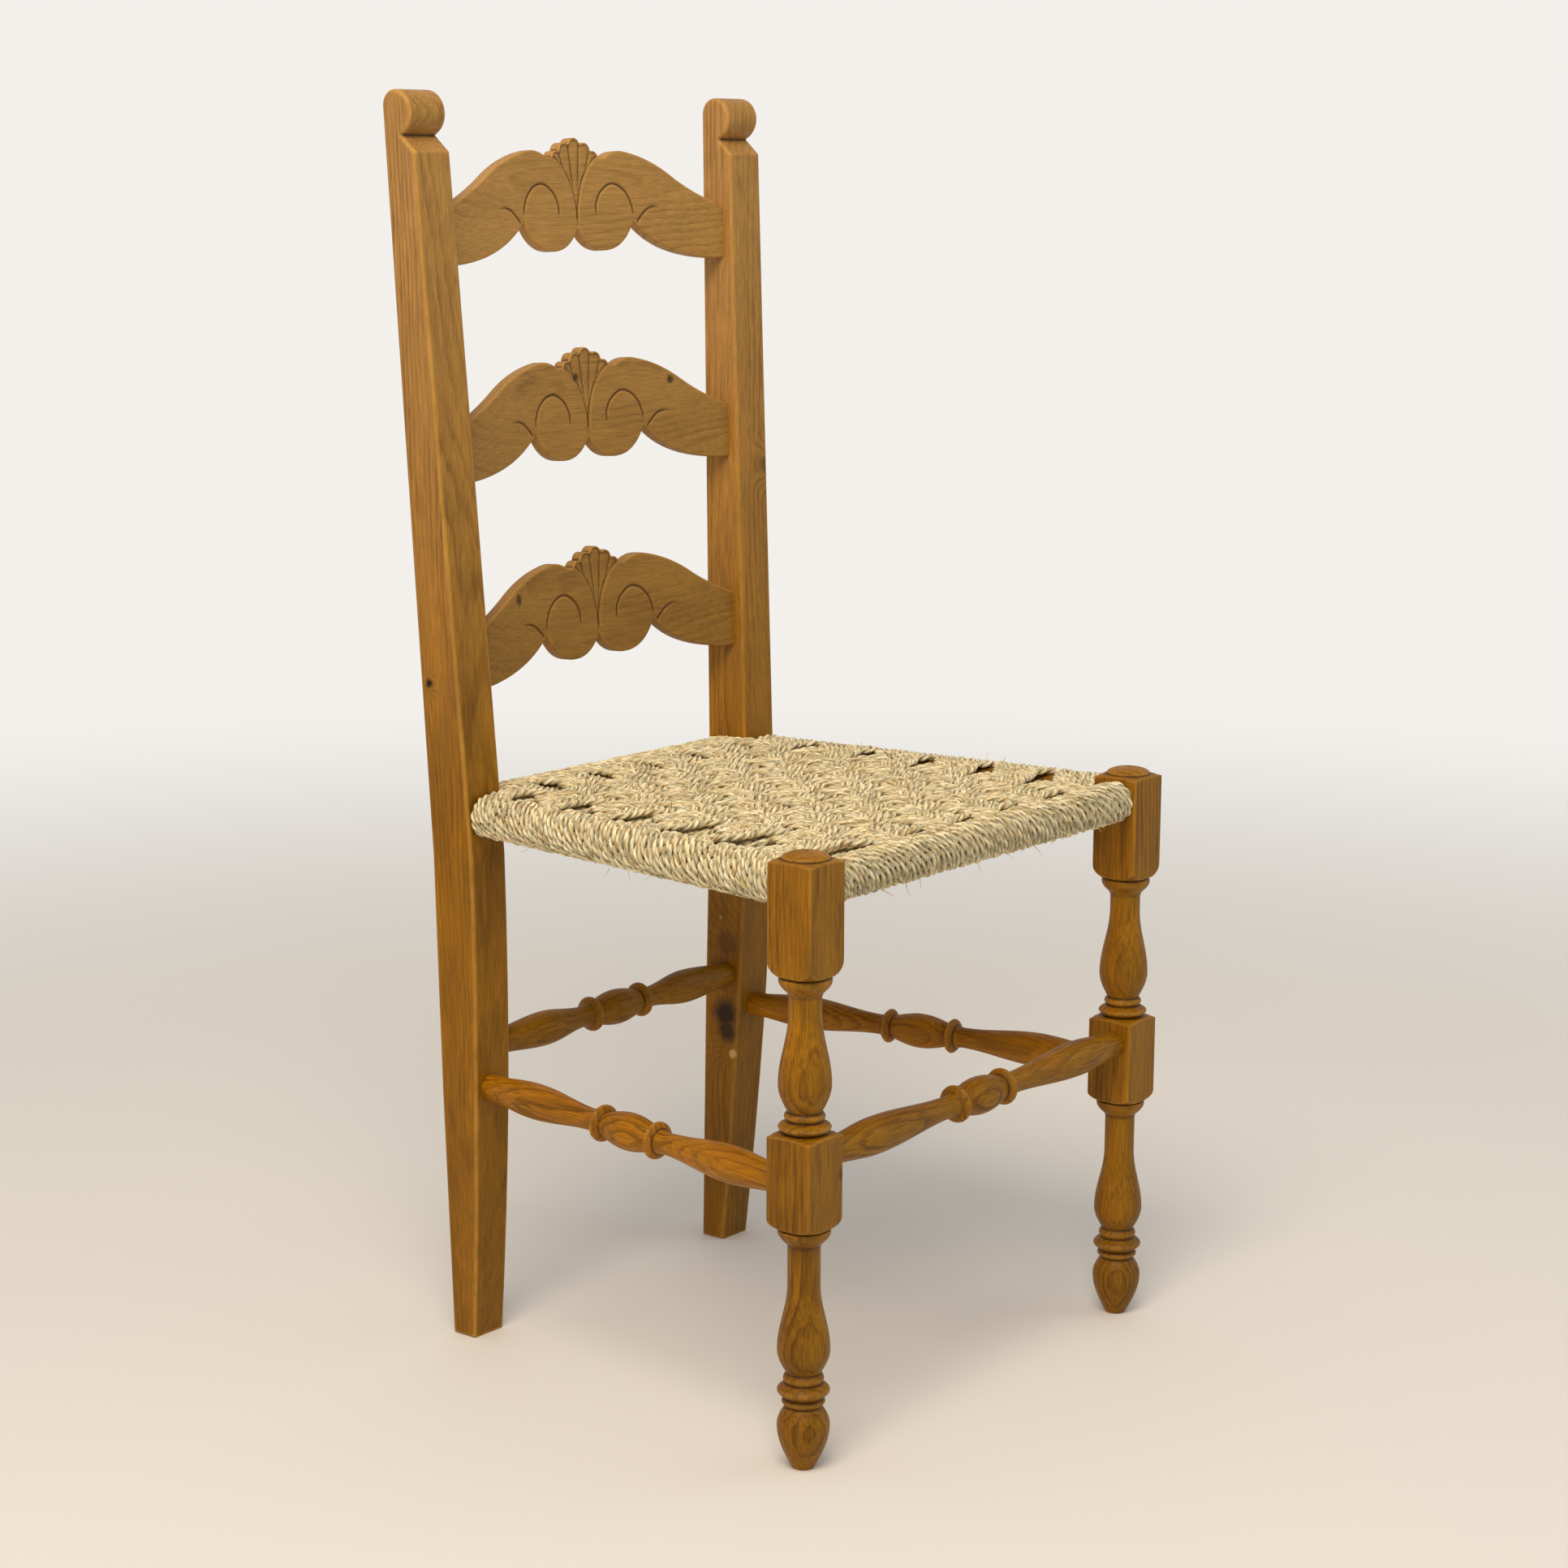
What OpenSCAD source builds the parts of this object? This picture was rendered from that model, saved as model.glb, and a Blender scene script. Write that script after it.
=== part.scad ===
// Ladder-back dining chair: two raked back posts, two turned front legs,
// three carved and bowed slats, four turned stretchers, four seat rails
// and a seat woven from twisted grass cord. Millimetres, +Z up, front at -Y.

/* [Overall] */
// Height of the seat, level with the shoulders of the front legs
seat_h = 452; // [430:1:545]
// Height of the whole chair at the back posts
back_h = 986; // [820:1:1180]
// Distance between the axes of the two front legs
leg_spread = 417; // [370:1:501]
// Distance between the centres of the back posts at the floor
post_spread = 313; // [261:1:360]
// From the front leg axis to the front face of the posts at the knee
seat_depth = 347; // [289:1:417]

/* [Front legs] */
// Side of the square stock that the legs are turned from
stock = 40; // [39:1:48]
// Bevel along the edges of the square blocks
block_bevel = 1; // [0.5:0.5:2]
// Height of the upper block
upper_block_h = 85; // [71:1:102]
// Height of the lower block
lower_block_h = 70; // [60:1:84]
// Underside of the lower block above the floor
lower_block_z = 183; // [165:0.5:190]
// Largest radius of the turned bellies and rings
belly_r = 19.4; // [17:0.1:19.5]
// Radius of the slender necks
neck_r = 12; // [10:0.5:13]
// Height of the pear-shaped foot
foot_h = 48; // [40:1:57]
// Radius of the flat that the foot stands on
foot_r = 8; // [6:0.5:10]
// Radius of the button on top of the leg
button_r = 18; // [15:0.5:19]
// Height of the button above the seat
button_h = 7; // [5:0.5:9]

/* [Back posts] */
// Width of a post seen from the front
post_w = 39; // [33:1:46]
// Width of a post at the floor
post_foot_w = 34; // [28:1:38]
// Depth of a post at the knee, seen from the side
post_d = 42.5; // [38:0.5:51]
// Height of the knee, above which the posts lean back
knee_z = 400; // [370:1:410]
// Lean of the front face above the knee, in degrees
front_rake = 3.43; // [2.9:0.01:4]
// Lean of the back face above the knee, in degrees
back_rake = 2.15; // [1.8:0.01:2.6]
// How far the front face sweeps back from knee to floor
foot_sweep = 19; // [10:1:22]
// Outward lean of each post seen from the front, in degrees
splay = 1.75; // [0:0.05:2.1]
// Radius of the scrolled head
scroll_r = 17.3; // [14.5:0.1:18]
// Depth of the notch below the scroll
scroll_cut = 13; // [10:0.5:14]

/* [Slats] */
// Height of the bottom slat, as a fraction of the way from seat to head
slat_bottom_at = 0.1957; // [0.18:0.0001:0.22]
// Height of the middle slat, in the same way
slat_middle_at = 0.4963; // [0.48:0.0001:0.52]
// Height of the top slat, in the same way
slat_top_at = 0.8071; // [0.78:0.0001:0.82]
// Thickness of a slat
slat_t = 11; // [9:0.5:15.5]
// How far the middle of a slat is bowed to the back
slat_bow = 15; // [8:0.5:17]
// From the front face of the post to the front face of the slat
slat_setback = 9; // [7:0.5:10]
// Thickness of the tenon at each end of a slat
slat_tenon_t = 7; // [6:0.5:8]
// Height of that tenon
slat_tenon_h = 30; // [25:1:36]

/* [Stretchers] */
// Height of the two side stretchers
side_stretch_z = 212; // [207:1:217]
// Height of the front stretcher
front_stretch_z = 234; // [231:1:237]
// Height of the back stretcher
back_stretch_z = 241; // [231:1:289]
// Largest radius of a stretcher
stretch_r = 14.5; // [12:0.5:17]
// Radius of the necks beside the rings
stretch_neck_r = 8.5; // [7:0.5:9.5]
// Radius of a stretcher where it meets a leg or post
stretch_end_r = 10; // [8.5:0.5:11.5]
// Distance between the two rings of a stretcher
ring_gap = 61; // [51:1:73]
// Distance from the end of a stretcher to its swelling
swell_at = 56; // [47:1:67]

/* [Seat] */
// Diameter of the round seat rails
rail_d = 23; // [19:0.5:27.5]
// Diameter of the woven cord
cord_d = 6; // [5:0.5:7]

/* [Fits] */
// Diameter of the round tenons
tenon_d = 12; // [10:0.5:13]
// Length of the round tenons
tenon_l = 14; // [11.5:0.5:15]
// Clearance round every tenon and along every shoulder
fit = 0.25; // [0.1:0.05:0.4]
// Space left beyond the end of a tenon
bottom_gap = 1; // [0.5:0.5:1.5]

/* [Hidden] */

PINE = "#b07a33";
PINE_PALE = "#c08d45";
RAIL = "#96622a";
CORD = "#cfc08a";

BIG = 1200;
ROOT = 5;                // a tenon starts this far inside its own member

leg_x = leg_spread / 2;
half_stock = stock / 2;
front_inner = leg_x - half_stock;
lower_block_top = lower_block_z + lower_block_h;
upper_block_top = seat_h + 1.5;
upper_block_z = upper_block_top - upper_block_h;

// Front and back faces, centre line and inner face of a post at height z
function post_front(z) = seat_depth + max(0, z - knee_z) * tan(front_rake)
  + foot_sweep * pow(max(0, knee_z - z) / knee_z, 2);
function post_back(z) = seat_depth + post_d + max(0, z - knee_z) * tan(back_rake);
function post_x(z) = post_spread / 2 + z * tan(splay);
function post_inner(z) = post_x(z) - post_w / 2;

// Seat rails sit one cord below the top of the seat
rail_r = rail_d / 2;
seat_r = rail_r + cord_d;
seat_crown = 0.8;
rail_z = seat_h - 1 - seat_r;
front_rail_y = seat_r + 1 - half_stock;
back_rail_y = post_front(rail_z) + post_d / 2;
side_rail_tenon_l = min(tenon_l,
  half_stock - front_rail_y - tenon_d / 2 - fit - bottom_gap - 0.5);
rail_leg = [leg_x, half_stock, rail_z];
rail_post = [post_x(rail_z) + 3, post_front(rail_z), rail_z];

// Stretchers, from the face of the leg or post they start at
side_leg = [leg_x - 2, half_stock, side_stretch_z];
side_post = [post_x(side_stretch_z) + 3, post_front(side_stretch_z), side_stretch_z];
front_end = [front_inner, -5, front_stretch_z];
back_end = [post_inner(back_stretch_z), post_front(back_stretch_z) + 16, back_stretch_z];
front_rail_end = [front_inner, front_rail_y, rail_z];
back_rail_end = [post_inner(rail_z), back_rail_y, rail_z];

function flip(p) = [-p.x, p.y, p.z];

// Turned curves, as [radius, height] points that leave out their own first
// point: "round" starts steep and ends level with the axis, "fall" is the
// reverse and "ease" is level at both ends
function round_curve(z0, r0, z1, r1, n = 6) =
  [for (i = [1 : n]) [r0 + (r1 - r0) * sin(90 * i / n), z0 + (z1 - z0) * i / n]];
function fall_curve(z0, r0, z1, r1, n = 6) =
  [for (i = [1 : n]) [r1 + (r0 - r1) * cos(90 * i / n), z0 + (z1 - z0) * i / n]];
function ease_curve(z0, r0, z1, r1, n = 9) =
  [for (i = [1 : n]) [r0 + (r1 - r0) * (1 - cos(180 * i / n)) / 2, z0 + (z1 - z0) * i / n]];
function bead(z, h, r, proud, n = 6) =
  [for (i = [0 : n]) [r + proud * sin(180 * i / n), z + h * i / n]];

// Bound of a square block: a curved shoulder, a radius beyond the corners
// of the stock, and a flatter shoulder on top
function block_profile(z0, z1, swell) =
  let (corner = half_stock * sqrt(2) + 1)
  concat(
    [for (a = [0 : 15 : 90]) [17.5 + (corner - 17.5) * sin(a), z0 + swell * (1 - cos(a))]],
    [[corner, z1 - 3.5], [corner - 1.5, z1 - 2.4], [17, z1]]
  );

// Belly, neck and cup between two heights. "full" and "thin" say how far
// up the belly is fullest and the neck begins.
function baluster(z0, z1, full, thin) =
  let (
    neck_z = z1 - 15,
    full_z = z0 + (neck_z - z0) * full,
    thin_z = z0 + (neck_z - z0) * thin
  )
  concat(
    [[neck_r + 1, z0]],
    round_curve(z0, neck_r + 1, full_z, belly_r),
    ease_curve(full_z, belly_r, thin_z, neck_r),
    bead(neck_z, 2.5, neck_r, 1.5, 4),
    round_curve(neck_z + 2.5, neck_r + 0.5, z1 - 3, belly_r),
    [[belly_r - 0.1, z1 - 1.5], [17, z1 - 0.7]]
  );

// Whole turned outline of a front leg, from the floor to the button
leg_profile = concat(
  [[0, 0], [foot_r, 0]],
  round_curve(0, foot_r, foot_h * 0.69, belly_r, 8),
  fall_curve(foot_h * 0.69, belly_r, foot_h, neck_r + 1),
  bead(foot_h + 0.5, 5.5, neck_r + 2, 2),
  bead(foot_h + 6.5, 10.5, neck_r + 2, belly_r - neck_r - 2),
  bead(foot_h + 17.5, 6.5, neck_r + 1.5, 1.5),
  baluster(foot_h + 25.5, lower_block_z, 0.18, 0.7),
  block_profile(lower_block_z, lower_block_top, 10),
  bead(lower_block_top + 0.6, 8.5, neck_r + 1.5, belly_r - neck_r - 1.5),
  bead(lower_block_top + 9.8, 6, neck_r + 1, 2),
  baluster(lower_block_top + 17, upper_block_z, 0.23, 0.86),
  block_profile(upper_block_z, upper_block_top, 18),
  [for (a = [0 : 15 : 75]) [button_r * cos(a), seat_h + 3 + (button_h - 3) * sin(a)]],
  [[0, seat_h + button_h]]
);

// Half of a stretcher, from beyond its end to its middle
function stretcher_half(len) =
  let (
    mid = len / 2,
    ring_z = mid - ring_gap / 2,
    ring_h = 9
  )
  concat(
    [[0, -ROOT], [stretch_end_r, -ROOT]],
    ease_curve(0, stretch_end_r, swell_at, stretch_r - 0.5, 8),
    ease_curve(swell_at, stretch_r - 0.5, ring_z - ring_h, stretch_neck_r),
    bead(ring_z - ring_h / 2, ring_h, stretch_neck_r + 1, stretch_r - stretch_neck_r - 1),
    [[stretch_neck_r + 1.5, ring_z + ring_h / 2 + 1]],
    round_curve(ring_z + ring_h / 2 + 1, stretch_neck_r + 1.5, mid, stretch_r)
  );
function stretcher_profile(len) =
  let (half = stretcher_half(len), n = len(half))
  concat(half, [for (i = [n - 2 : -1 : 0]) [half[i][0], len - half[i][1]]]);

// Side view of a post as [y, z] points
head_y = post_front(back_h) + scroll_r;
head_corner = post_back(back_h) - head_y;
notch_z = back_h - 1.95 * scroll_r;
post_side = concat(
  [for (i = [0 : 8]) let (z = knee_z * i / 8) [post_front(z), z]],
  [[post_front(notch_z - 12), notch_z - 12], [post_front(notch_z) + scroll_cut, notch_z]],
  [for (a = [235 : -11 : 92]) [head_y + scroll_r * cos(a), back_h - scroll_r * (1 - sin(a))]],
  [for (a = [90 : -15 : 0])
    [head_y + head_corner * cos(a), back_h - head_corner * (1 - sin(a))]],
  [[post_back(knee_z), knee_z], [seat_depth + post_d, 0]]
);

// Front view of a post as [x, z] points, tapered below the stretchers
taper_z = 205;
post_face = [
  [post_x(0) - post_foot_w / 2, 0],
  [post_inner(taper_z), taper_z],
  [post_inner(back_h), back_h],
  [post_inner(back_h) + post_w, back_h],
  [post_inner(taper_z) + post_w, taper_z],
  [post_x(0) + post_foot_w / 2, 0]
];

// Slats, drawn as [x, z] points about the cusps in the lower edge
slat_z = [for (at = [slat_bottom_at, slat_middle_at, slat_top_at])
  seat_h + at * (back_h - seat_h)];
function slat_reach(i) = post_inner(slat_z[i]);
function bow_r(i) = (pow(slat_reach(i), 2) + pow(slat_bow, 2)) / (2 * slat_bow);
function slat_face(i, x) = slat_bow - bow_r(i) + sqrt(pow(bow_r(i), 2) - x * x);
function bend(a, b, c, n = 8) =
  [for (i = [0 : n - 1]) let (t = i / n) a * pow(1 - t, 2) + 2 * b * t * (1 - t) + c * t * t];
shell_z = 18;            // the lobes and flutes of the shell fan out from here
shell_r = 47;
lobe_r = 7.6;
lobe_step = 16.5;        // degrees from one lobe to the next
slat_half = concat(
  [[0, 40]],
  bend([0, -1], [10, -19.5], [30, -19.5]),
  bend([30, -19.5], [54, -19.5], [65, 4]),
  bend([65, 4], [92, -24], [150, -28]),
  [[150, -28], [190, -29], [190, 6]],
  bend([166, 14.5], [136, 24], [112, 38.5]),
  bend([112, 38.5], [86, 55.5], [55, 60]),
  bend([55, 60], [44, 61], [34, 55], 4),
  [for (a = [40 : -10 : 0]) [shell_r * sin(a), shell_z + shell_r * cos(a)]]
);

// The chair is drawn from the leg axis, then moved onto its own centre. Its
// rearmost point is the crest of the top slat, or else the post behind it.
slat_back = post_front(slat_z[2]) + slat_setback
  + (slat_bow + slat_t) * cos(front_rake) + (shell_z + shell_r + lobe_r) * sin(front_rake);
centre_y = (max(slat_back, post_back(back_h)) - half_stock) / 2;

module place() {
  translate([0, -centre_y, 0]) children();
}

// Stands children, drawn along +Z, on the line from a towards b
module along(a, b) {
  d = b - a;
  translate(a) rotate([0, acos(d.z / norm(d)), atan2(d.y, d.x)]) children();
}

module mirror_if(left) {
  if (left) mirror([1, 0, 0]) children();
  else children();
}

// The round tenon at end a of the member that runs from a to b, or its
// bore when "grow" is the clearance
module tenon(a, b, grow = 0, long = tenon_l) {
  d = (b - a) / norm(b - a);
  reach = long + (grow > 0 ? bottom_gap : 0);
  along(a + ROOT * d, a - b + a) cylinder(d = tenon_d + 2 * grow, h = reach + ROOT);
}

module leg_bores() {
  tenon(side_leg, side_post, fit);
  tenon(rail_leg, rail_post, fit, side_rail_tenon_l);
  tenon(front_end, flip(front_end), fit);
  tenon(front_rail_end, flip(front_rail_end), fit);
}

module post_bores() {
  tenon(side_post, side_leg, fit);
  tenon(rail_post, rail_leg, fit);
  tenon(back_end, flip(back_end), fit);
  tenon(back_rail_end, flip(back_rail_end), fit);
  for (i = [0 : 2]) slat_at(i) slat_tenon(i, fit);
}

module block_section() {
  a = half_stock;
  b = half_stock - block_bevel;
  polygon([[-b, -a], [b, -a], [a, -b], [a, b], [b, a], [-b, a], [-a, b], [-a, -b]]);
}

module front_leg(left) {
  color(PINE) place() mirror_if(left) difference() {
    translate([leg_x, 0, 0]) intersection() {
      rotate_extrude() polygon(leg_profile);
      linear_extrude(seat_h + button_h + 1) block_section();
    }
    leg_bores();
  }
}

module back_post(left) {
  color(PINE) place() mirror_if(left) difference() {
    intersection() {
      rotate([90, 0, 90]) linear_extrude(BIG) polygon(post_side);
      translate([0, BIG, 0]) rotate([90, 0, 0]) linear_extrude(BIG) polygon(post_face);
    }
    post_bores();
  }
}

// A slat is drawn upright about its cusps, then leant back with the posts
module slat_at(i) {
  translate([0, post_front(slat_z[i]) + slat_setback, slat_z[i]])
    rotate([-front_rake, 0, 0]) children();
}

module slat_tenon(i, grow = 0) {
  reach = tenon_l + (grow > 0 ? bottom_gap : 0);
  translate([slat_reach(i) - 12, (slat_t - slat_tenon_t) / 2 - grow, -23 - grow])
    cube([12 + reach, slat_tenon_t + 2 * grow, slat_tenon_h + 2 * grow]);
}

module slat_outline(i) {
  z = slat_z[i];
  intersection() {
    union() {
      polygon(slat_half);
      mirror([1, 0]) polygon(slat_half);
      for (a = [-2 : 2])
        translate([0, shell_z]) rotate(a * lobe_step) translate([0, shell_r]) circle(r = lobe_r);
    }
    polygon([
      [-post_inner(z - 40) + fit, -40], [post_inner(z - 40) - fit, -40],
      [post_inner(z + 90) - fit, 90], [-post_inner(z + 90) + fit, 90]
    ]);
  }
}

// Shallow grooves between the lobes of the shell, from point to rim
module slat_flutes(i) {
  for (a = [-2.5 : 2.5]) {
    out = [sin(a * lobe_step), 0, cos(a * lobe_step)];
    hub = [0, slat_face(i, 32 * out.x), shell_z];
    along(hub + 15 * out, hub + 60 * out) cylinder(r1 = 0.6, r2 = 1.6, h = 45);
  }
}

module slat_body(i) {
  difference() {
    intersection() {
      translate([0, 80, 0]) rotate([90, 0, 0]) linear_extrude(160) slat_outline(i);
      translate([0, slat_bow - bow_r(i), -60]) difference() {
        cylinder(r = bow_r(i) + slat_t, h = 160, $fn = 720);
        translate([0, 0, -1]) cylinder(r = bow_r(i), h = 162, $fn = 720);
      }
      translate([-250, -20, -50]) cube([500, 80, 150]);
    }
    slat_flutes(i);
  }
  slat_tenon(i);
  mirror([1, 0, 0]) slat_tenon(i);
}

module slat(i) {
  color(PINE_PALE) place() slat_at(i) slat_body(i);
}

// Spaces between the faces that a side or cross member stands between
module between_y(z, r) {
  y0 = half_stock + fit;
  y1 = min(post_front(z - r), post_front(z + r)) - fit;
  translate([-BIG / 2, y0, z - 50]) cube([BIG, y1 - y0, 100]);
}

module between_x(half, z) {
  translate([fit - half, -BIG / 2, z - 50]) cube([2 * (half - fit), BIG, 100]);
}

module turning(a, b) {
  along(a, b) rotate_extrude() polygon(stretcher_profile(norm(b - a)));
}

module dowel(a, b, r) {
  d = (b - a) / norm(b - a);
  along(a - ROOT * d, b) cylinder(r = r, h = norm(b - a) + 2 * ROOT);
}

module tenons(a, b) {
  tenon(a, b);
  tenon(b, a);
}

module stretcher_front() {
  color(PINE) place() union() {
    intersection() {
      turning(front_end, flip(front_end));
      between_x(front_inner, front_stretch_z);
    }
    tenons(front_end, flip(front_end));
  }
}

module stretcher_back() {
  color(RAIL) place() union() {
    intersection() {
      turning(back_end, flip(back_end));
      between_x(post_inner(back_stretch_z - stretch_end_r), back_stretch_z);
    }
    tenons(back_end, flip(back_end));
  }
}

module stretcher_side(left) {
  color(PINE) place() mirror_if(left) union() {
    intersection() {
      turning(side_leg, side_post);
      between_y(side_stretch_z, stretch_end_r);
    }
    tenons(side_leg, side_post);
  }
}

module seat_rail_front() {
  color(RAIL) place() union() {
    intersection() {
      dowel(front_rail_end, flip(front_rail_end), rail_r);
      between_x(front_inner, rail_z);
    }
    tenons(front_rail_end, flip(front_rail_end));
  }
}

module seat_rail_back() {
  color(RAIL) place() union() {
    intersection() {
      dowel(back_rail_end, flip(back_rail_end), rail_r);
      between_x(post_inner(rail_z - rail_r), rail_z);
    }
    tenons(back_rail_end, flip(back_rail_end));
  }
}

module seat_rail_side(left) {
  color(RAIL) place() mirror_if(left) union() {
    intersection() {
      dowel(rail_leg, rail_post, rail_r);
      between_y(rail_z, rail_r);
    }
    tenon(rail_leg, rail_post, 0, side_rail_tenon_l);
    tenon(rail_post, rail_leg);
  }
}

// The two layers of cord, drawn as what the weave fills: a slab between the
// rails and a round edge, a little prouder, along each of them
module seat_mass(r) {
  half = r - seat_crown;
  translate([0, 0, rail_z - half]) linear_extrude(2 * half) polygon([
    [-leg_x, front_rail_y], [leg_x, front_rail_y],
    [rail_post.x, back_rail_y], [-rail_post.x, back_rail_y]
  ]);
  dowel(front_rail_end, flip(front_rail_end), r);
  dowel(back_rail_end, flip(back_rail_end), r);
  dowel(rail_leg, rail_post, r);
  dowel(flip(rail_leg), flip(rail_post), r);
}

// Corners of the seat, left clear for the legs and posts
module seat_corner() {
  tall = 4 * seat_r;
  inner = post_inner(rail_z - seat_r) - fit;
  front = post_front(rail_z - seat_r) - fit;
  translate([front_inner - fit, -100, rail_z - tall / 2])
    cube([100, 100 + half_stock + fit, tall]);
  translate([inner, front, rail_z - tall / 2]) cube([100, 100, tall]);
}

module woven_seat() {
  color(CORD) place() difference() {
    seat_mass(seat_r);
    seat_mass(rail_r + fit);
    seat_corner();
    mirror([1, 0, 0]) seat_corner();
  }
}

back_post(true);  // back_post_left
back_post(false);  // back_post_right
front_leg(true);  // front_leg_left
front_leg(false);  // front_leg_right
slat(2);  // slat_top
slat(1);  // slat_middle
slat(0);  // slat_bottom
seat_rail_front();
seat_rail_back();
seat_rail_side(true);  // seat_rail_left
seat_rail_side(false);  // seat_rail_right
stretcher_front();
stretcher_back();
stretcher_side(true);  // stretcher_left
stretcher_side(false);  // stretcher_right
woven_seat();
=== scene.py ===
import math

import bmesh
import bpy
import numpy as np
from bpy.props import FloatProperty, FloatVectorProperty, IntProperty, PointerProperty
from mathutils import Matrix, Vector
from mathutils.geometry import delaunay_2d_cdt


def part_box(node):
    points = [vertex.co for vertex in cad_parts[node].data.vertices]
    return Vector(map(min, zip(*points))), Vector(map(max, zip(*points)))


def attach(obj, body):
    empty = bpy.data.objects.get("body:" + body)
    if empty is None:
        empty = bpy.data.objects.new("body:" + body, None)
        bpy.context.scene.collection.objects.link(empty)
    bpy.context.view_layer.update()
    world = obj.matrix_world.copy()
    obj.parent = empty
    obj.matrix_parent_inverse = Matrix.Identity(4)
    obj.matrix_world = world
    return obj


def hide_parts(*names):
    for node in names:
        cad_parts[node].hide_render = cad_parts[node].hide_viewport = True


bl_info = {
    "name": "Ladder-back chair",
    "version": (1, 0, 0),
    "blender": (4, 5, 0),
    "location": "3D View > Sidebar > Chair",
    "description": "Makes the looks of a pine ladder-back chair with a woven cord seat",
    "category": "Add Mesh",
}

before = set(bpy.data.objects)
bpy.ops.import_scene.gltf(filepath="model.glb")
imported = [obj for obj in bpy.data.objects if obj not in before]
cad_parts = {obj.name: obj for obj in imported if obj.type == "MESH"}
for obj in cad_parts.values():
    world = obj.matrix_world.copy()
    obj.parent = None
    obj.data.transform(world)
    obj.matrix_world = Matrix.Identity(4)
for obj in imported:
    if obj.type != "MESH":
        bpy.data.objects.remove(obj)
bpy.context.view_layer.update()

# Everything is worked out in millimetres, with y counted from the axis of the
# front legs, and turned to metres in the row frame when a mesh is made.
MM = 0.001
LOW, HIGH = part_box("front_leg_left")
LEG_Y = (LOW.y + HIGH.y) / 2 / MM
LEG_X = -(LOW.x + HIGH.x) / 2 / MM
SEAT_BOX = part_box("woven_seat")
SEAT_TOP = SEAT_BOX[1].z / MM
RAIL_Z = (SEAT_BOX[0].z + SEAT_BOX[1].z) / 2 / MM
HEAD_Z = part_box("back_post_left")[1].z / MM
HALF_STOCK = 20.0
POST_WIDE, FOOT_WIDE, TAPER_Z = 39.0, 34.0, 205.0
POST_FRONT, POST_BACK, FOOT_X = 347.0, 389.5, 156.5
FOOT_KICK = 19.0
KNEE_Z = 400.0
FRONT_RAKE = math.radians(3.43)
BACK_RAKE = math.radians(2.15)
SPLAY = math.radians(1.75)


def linear(hex_colour):
    """An sRGB hex colour as the linear colour that a shader socket takes."""
    raw = [int(hex_colour[i : i + 2], 16) / 255 for i in (1, 3, 5)]
    return tuple(c / 12.92 if c <= 0.04045 else ((c + 0.055) / 1.055) ** 2.4 for c in raw) + (1.0,)


def add(tree, kind, inputs=None, **settings):
    """Adds a node with its settings, and its inputs as values or links."""
    made = tree.nodes.new(kind)
    for key, value in settings.items():
        setattr(made, key, value)
    for key, value in (inputs or {}).items():
        if isinstance(value, bpy.types.NodeSocket):
            tree.links.new(value, made.inputs[key])
        else:
            made.inputs[key].default_value = value
    return made


def post_front(z):
    kick = FOOT_KICK * (np.maximum(0, KNEE_Z - z) / KNEE_Z) ** 2
    return POST_FRONT + np.maximum(0, z - KNEE_Z) * math.tan(FRONT_RAKE) + kick


def post_back(z):
    return POST_BACK + np.maximum(0, z - KNEE_Z) * math.tan(BACK_RAKE)


def post_x(z):
    return FOOT_X + z * math.tan(SPLAY)


# ---------------------------------------------------------------- meshes


def make_piece(name, points, faces, material, nodes):
    """A finished piece in the row frame that stands for its CAD nodes."""
    mesh = bpy.data.meshes.new(name)
    place = np.asarray(points, float) + [0, LEG_Y, 0]
    mesh.from_pydata((place * MM).tolist(), [], [list(map(int, f)) for f in faces])
    shape = bmesh.new()
    shape.from_mesh(mesh)
    bmesh.ops.remove_doubles(shape, verts=shape.verts, dist=1e-6)
    bmesh.ops.holes_fill(shape, edges=[e for e in shape.edges if e.is_boundary], sides=6)
    bmesh.ops.recalc_face_normals(shape, faces=shape.faces)
    shape.to_mesh(mesh)
    shape.free()
    mesh.materials.append(material)
    mesh.shade_smooth()
    store_edge(mesh)
    return finish_piece(name, mesh, nodes)


def finish_piece(name, mesh, nodes):
    piece = bpy.data.objects.new(name, mesh)
    bpy.context.scene.collection.objects.link(piece)
    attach(piece, "root")
    if nodes:
        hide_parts(*nodes)
    return piece


def store_edge(mesh):
    """Stores how rounded-over or hollow each point is, for wear and dirt, and how far it faces the front, for
    the painted shade that the front faces get."""
    count = len(mesh.vertices)
    co = np.empty(count * 3)
    mesh.vertices.foreach_get("co", co)
    co = co.reshape(-1, 3) / MM
    normal = np.empty(count * 3)
    mesh.vertices.foreach_get("normal", normal)
    normal = normal.reshape(-1, 3)
    ends = np.empty(len(mesh.edges) * 2, int)
    mesh.edges.foreach_get("vertices", ends)
    a, b = ends.reshape(-1, 2).T
    step = co[b] - co[a]
    square = np.maximum((step**2).sum(1), 0.05)
    total, number = np.zeros(count), np.zeros(count)
    for here, sign in ((a, -1), (b, 1)):
        np.add.at(total, here, sign * (step * normal[here]).sum(1) / square)
        np.add.at(number, here, 1)
    bend = total / np.maximum(number, 1)
    for _ in range(2):
        near, number = np.zeros(count), np.zeros(count)
        for here, there in ((a, b), (b, a)):
            np.add.at(near, here, bend[there])
            np.add.at(number, here, 1)
        bend = 0.5 * bend + 0.5 * near / np.maximum(number, 1)
    mesh.attributes.new("edge", "FLOAT", "POINT").data.foreach_set("value", np.clip(bend * 8, -1, 1))
    mesh.attributes.new("front", "FLOAT", "POINT").data.foreach_set("value", np.clip(-normal[:, 1], 0, 1))


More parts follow.
